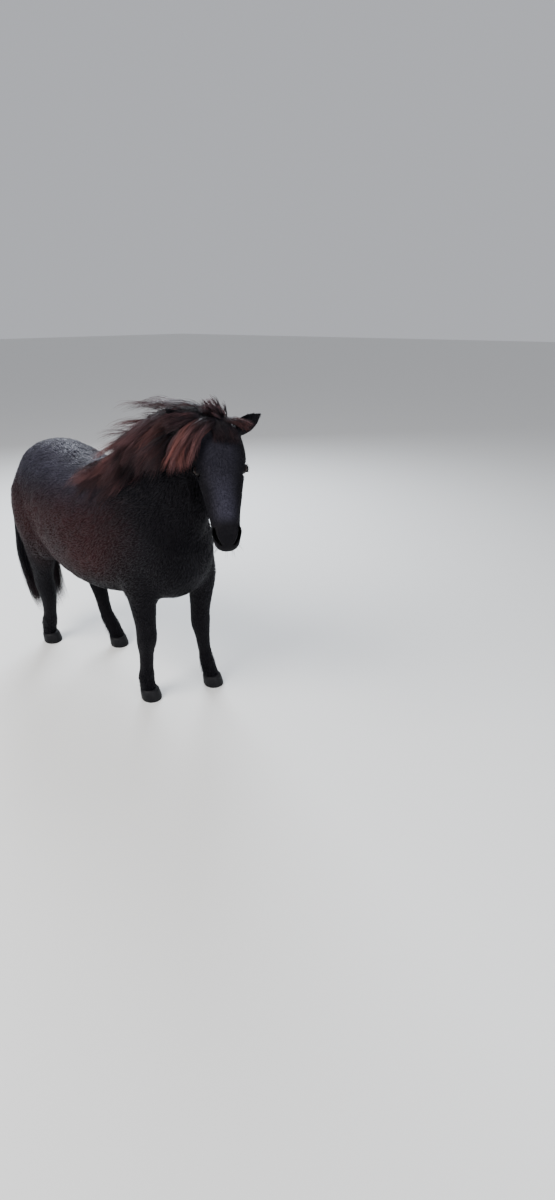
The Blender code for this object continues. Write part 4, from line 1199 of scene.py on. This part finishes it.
def tail_line():
    """The tail's middle line, from inside the rump over the dock and down to the tips."""
    low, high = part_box("tail")
    top = high.z - 0.030
    line = [tail_middle(top - (top - low.z - 0.02) * k / 11) for k in range(12)]
    rump = Vector((high.x + 0.01, line[0].y, high.z - 0.032))
    return [rump, rump.lerp(line[0], 0.6) + Vector((0, 0, 0.006))] + line[1:]


def tail_lock(line, dice):
    """The guide of one lock of the tail, which leaves the dock at its own height and hangs down."""
    begin = dice.uniform(0.04, 0.40)
    end = dice.uniform(0.96, 1.08)
    turn = dice.uniform(0, 2 * math.pi)
    reach = math.sqrt(dice.uniform(0.05, 1))
    phase = dice.uniform(0, 6.28)
    lengthwise, across = TAIL_HALVES
    points = []
    for i in range(TAIL_STEPS + 1):
        t = i / TAIL_STEPS
        place = (begin + (end - begin) * t) * (len(line) - 1)
        j = min(int(place), len(line) - 2)
        middle = line[j].lerp(line[j + 1], place - j)
        belly = 0.45 + 0.9 * math.sin(math.pi * min(1.0, 0.10 + 0.66 * t))
        out = Vector((math.cos(turn) * lengthwise, math.sin(turn) * across, 0)) * reach * belly
        sway = Vector((math.sin(phase + 4.2 * t) * 0.3, math.cos(phase + 3.6 * t), 0)) * 0.010 * t
        points.append(middle + out + sway)
    outward = Vector((math.cos(turn), math.sin(turn) * 0.8, 0.15)).normalized()
    return np.array(points), np.array([outward] * len(points))


class PONY_OT_tail(bpy.types.Operator):
    """Make the dock and the long hair that hangs from it"""

    bl_idname = "pony.tail"
    bl_label = "Tail"

    def execute(self, context):
        dice = np.random.default_rng(15)
        line = tail_line()
        builder = bmesh.new()
        radii = [DOCK_RADIUS - 0.0004 * i for i in range(DOCK_BALLS)]
        bead_line(builder, spread_line(line[:6], DOCK_BALLS), radii)
        dock = new_piece("dock", builder)
        remesh(dock, 0.005, 8)
        points, _ = vertex_arrays(dock)
        colour_vertices(dock, np.tile(np.array(colours().black), (len(points), 1)))
        finish_piece(dock, tinted_material("dock"))
        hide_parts("tail")
        guides = [tail_lock(line, dice) for _ in range(TAIL_LOCKS)]
        shade = sun_bleached(*TAIL_BLEACH, 6)
        piece = comb("tail_hair", guides, TAIL_STRANDS, TAIL_SPREAD, TAIL_WIDTH, shade, TAIL_SEED, TORSO)
        finish_piece(piece, tinted_material("tail_hair"))
        return {"FINISHED"}


class PONY_OT_whiskers(bpy.types.Operator):
    """Grow the eyelashes, and the whiskers on the lips and chin"""

    bl_idname = "pony.whiskers"
    bl_label = "Whiskers"

    def execute(self, context):
        tree = surface_tree(bpy.data.objects["skin"])
        dice = np.random.default_rng(21)
        roots, ways, lengths = [], [], []
        down = HEAD_TURN.to_3x3() @ Vector((0.35, 0, -0.75))
        along, half, heights = WHISKER_AREA
        for _ in range(WHISKERS):
            u, side = dice.uniform(*along), dice.uniform(-1, 1)
            guess = in_head(u, side * half, dice.uniform(*heights))
            near, normal, _, _ = tree.find_nearest(guess)
            roots.append(near)
            ways.append((normal + down * 0.8 + Vector(dice.normal(0, 0.18, 3))).normalized())
            lengths.append(sizes().whisker * dice.uniform(0.5, 1.3))
        for name in SIDES:
            look, _, up = eye_axes(name)
            for point in lid_line(name, LIDS[0][0], 0.003, 27)[3:-3]:
                roots.append(point)
                ways.append((look * 0.9 + up * 0.25 + Vector(dice.normal(0, 0.10, 3))).normalized())
                lengths.append(dice.uniform(*LASH_LENGTHS))
        roots, ways = np.array(roots), np.array(ways)
        reach = np.array(lengths)[:, None]
        droop = np.array((0, 0, -1.0))
        steps = [(t, 0.25 * max(0, t) ** 2) for t in (-0.05, 0.3, 0.65, 1.0)]
        paths = np.stack([roots + ways * reach * t + droop * reach * fall for t, fall in steps], axis=1)
        outs = np.repeat(unit(np.cross(ways, (0.3, 0.9, 0.1)))[:, None], 4, axis=1)
        tints = np.tile(np.array(colours().black), (len(roots), 4, 1))
        places = unwrap(roots, np.full(len(roots), HEAD))
        profile = np.array((1.0, 0.9, 0.6, 0.0))
        widths = np.full(len(roots), WHISKER_WIDTH)
        piece = strand_mesh("whiskers", paths, outs, widths, 1.0, profile, tints, places)
        finish_piece(piece, tinted_material("whisker"))
        return {"FINISHED"}


class PONY_OT_eyes(bpy.types.Operator):
    """Make the eyeballs, each with a cornea, a level pupil and a dark iris"""

    bl_idname = "pony.eyes"
    bl_label = "Eyes"

    def execute(self, context):
        material = tinted_material("eye")
        for name in SIDES:
            centre, radius = eye_of(name)
            look, along, up = eye_axes(name)
            turn = Matrix((along, look.cross(along), look)).transposed().to_4x4()
            builder = bmesh.new()
            bmesh.ops.create_uvsphere(builder, u_segments=56, v_segments=40, radius=radius,
                                      matrix=Matrix.Translation(centre) @ turn)
            tints = []
            for vertex in builder.verts:
                offset = (vertex.co - centre) / radius
                a, b, c = offset.dot(along), offset.dot(up), offset.dot(look)
                ring = math.hypot(a, b * 1.25) if c > 0 else 2.0
                pupil = math.hypot(a / PUPIL[0], b / PUPIL[1]) < 1 and c > 0
                bulge = max(0.0, 1 - (ring / CORNEA_EDGE) ** 2) if c > 0 else 0.0
                vertex.co += look * radius * CORNEA_RISE * bulge
                if pupil:
                    tints.append(PUPIL_TINT)
                elif ring < IRIS_EDGE:
                    tints.append(tuple(colours().iris))
                else:
                    tints.append(EYEBALL_TINT)
            eye = new_piece("eyeball_" + name, builder)
            colour_vertices(eye, np.array(tints))
            finish_piece(eye, material)
            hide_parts("eye_" + name)
        return {"FINISHED"}


def make_hoof(name, points):
    """A hoof built up in rings, from the shape of the frame's hoof at the ground to that at the coronet."""
    low, high = points.min(0), points.max(0)
    foot = points[points[:, 2] < low[2] + 0.001]
    coronet = points[points[:, 2] > high[2] - 0.001]
    builder = bmesh.new()
    loop = bmesh.ops.create_circle(builder, cap_ends=False, segments=HOOF_SIDES, radius=1)["verts"]
    edges = list(builder.edges)
    bottom = list(edges)
    centre = (0.0, 0.0)
    for k in range(HOOF_RINGS + 1):
        share = k / HOOF_RINGS
        middle = foot.mean(0) * (1 - share) + coronet.mean(0) * share
        half = (np.ptp(foot, axis=0) * (1 - share) + np.ptp(coronet, axis=0) * share) / 2
        bulge = HOOF_BULGE * min(1.0, share * 8, (1 - share) * 8) + GROWTH_LINE * math.sin(share * 46)
        if k:
            made = bmesh.ops.extrude_edge_only(builder, edges=edges)["geom"]
            loop = [item for item in made if isinstance(item, bmesh.types.BMVert)]
            edges = [item for item in made if isinstance(item, bmesh.types.BMEdge)
                     and all(end in loop for end in item.verts)]
        for vertex in loop:
            angle = math.atan2(vertex.co.y - centre[1], vertex.co.x - centre[0])
            vertex.co = Vector((
                middle[0] + (half[0] + bulge) * math.cos(angle),
                middle[1] + (half[1] + bulge) * math.sin(angle),
                low[2] + (high[2] - low[2]) * share,
            ))
        centre = middle
    bmesh.ops.edgeloop_fill(builder, edges=bottom)
    bmesh.ops.edgeloop_fill(builder, edges=edges)
    bmesh.ops.recalc_face_normals(builder, faces=builder.faces)
    return new_piece(name, builder)


class PONY_OT_hooves(bpy.types.Operator):
    """Make the hooves, with growth rings, a narrowed lower edge, and horn darker towards the ground"""

    bl_idname = "pony.hooves"
    bl_label = "Hooves"

    def execute(self, context):
        material = tinted_material("horn")
        for end in ("forehoof_", "hindhoof_"):
            for name in SIDES:
                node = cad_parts[end + name]
                points = np.array([vertex.co for vertex in node.data.vertices])
                hoof = make_hoof(end + "horn_" + name, points)
                places, _ = vertex_arrays(hoof)
                # The horn is darker towards the ground and lighter towards the coronet.
                rise = step(places[:, 2], 0.0, points[:, 2].max())[:, None]
                colour_vertices(hoof, np.array(colours().horn) * (0.75 + 0.5 * rise))
                finish_piece(hoof, material)
                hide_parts(end + name)
        return {"FINISHED"}


def soft_light(name, place, target, power, size, colour):
    lamp = bpy.data.lights.new(name, "AREA")
    lamp.energy = power
    lamp.size = size
    lamp.color = colour
    holder = bpy.data.objects.new(name, lamp)
    holder.location = place
    holder.rotation_mode = "QUATERNION"
    holder.rotation_quaternion = (Vector(target) - Vector(place)).to_track_quat("-Z", "Y")
    bpy.context.scene.collection.objects.link(holder)


class PONY_OT_stage(bpy.types.Operator):
    """Set the plain floor, the soft lights and the camera"""

    bl_idname = "pony.stage"
    bl_label = "Stage"

    def execute(self, context):
        builder = bmesh.new()
        bmesh.ops.create_grid(builder, x_segments=1, y_segments=1, size=FLOOR_HALF)
        floor = new_piece("floor", builder)
        material = bpy.data.materials.new("floor")
        material.use_nodes = True
        shader = material.node_tree.nodes["Principled BSDF"]
        shader.inputs["Base Color"].default_value = (*colours().floor, 1)
        shader.inputs["Roughness"].default_value = 0.9
        floor.data.materials.append(material)
        world = bpy.data.worlds.new("studio")
        world.use_nodes = True
        sky = world.node_tree.nodes["Background"]
        sky.inputs["Color"].default_value = SKY_COLOUR
        sky.inputs["Strength"].default_value = SKY_STRENGTH
        context.scene.world = world
        for light in LIGHTS:
            soft_light(*light)
        lens = bpy.data.cameras.new("camera")
        lens.lens = CAMERA_LENS
        lens.sensor_width = 36
        camera = bpy.data.objects.new("camera", lens)
        down = Vector((0, 0, -math.sin(CAMERA_PITCH)))
        forward = CAMERA_HEADING.normalized() * math.cos(CAMERA_PITCH) + down
        camera.location = CAMERA_PLACE
        camera.rotation_mode = "QUATERNION"
        camera.rotation_quaternion = forward.to_track_quat("-Z", "Y")
        context.scene.collection.objects.link(camera)
        context.scene.camera = camera
        return {"FINISHED"}


OPERATORS = (PONY_OT_skin, PONY_OT_coat, PONY_OT_mane, PONY_OT_forelock, PONY_OT_tail, PONY_OT_whiskers,
             PONY_OT_eyes, PONY_OT_hooves, PONY_OT_stage)


class PONY_PT_panel(bpy.types.Panel):
    """The pony's pieces, sizes and colours"""

    bl_idname = "PONY_PT_panel"
    bl_label = "Shetland Pony"
    bl_space_type = "VIEW_3D"
    bl_region_type = "UI"
    bl_category = "Pony"

    def draw(self, context):
        for operator in OPERATORS:
            self.layout.operator(operator.bl_idname)
        for group in (context.scene.pony_sizes, context.scene.pony_colours):
            box = self.layout.box()
            for name in group.__annotations__:
                box.prop(group, name)


def register():
    for item in (PonySizes, PonyColours, *OPERATORS, PONY_PT_panel):
        bpy.utils.register_class(item)
    bpy.types.Scene.pony_sizes = bpy.props.PointerProperty(type=PonySizes)
    bpy.types.Scene.pony_colours = bpy.props.PointerProperty(type=PonyColours)


def unregister():
    del bpy.types.Scene.pony_colours
    del bpy.types.Scene.pony_sizes
    for item in (PONY_PT_panel, *reversed(OPERATORS), PonyColours, PonySizes):
        bpy.utils.unregister_class(item)


def main():
    register()
    bpy.ops.pony.skin()
    bpy.ops.pony.coat()
    bpy.ops.pony.mane()
    bpy.ops.pony.forelock()
    bpy.ops.pony.tail()
    bpy.ops.pony.whiskers()
    bpy.ops.pony.eyes()
    bpy.ops.pony.hooves()
    bpy.ops.pony.stage()


if __name__ == "__main__":
    main()
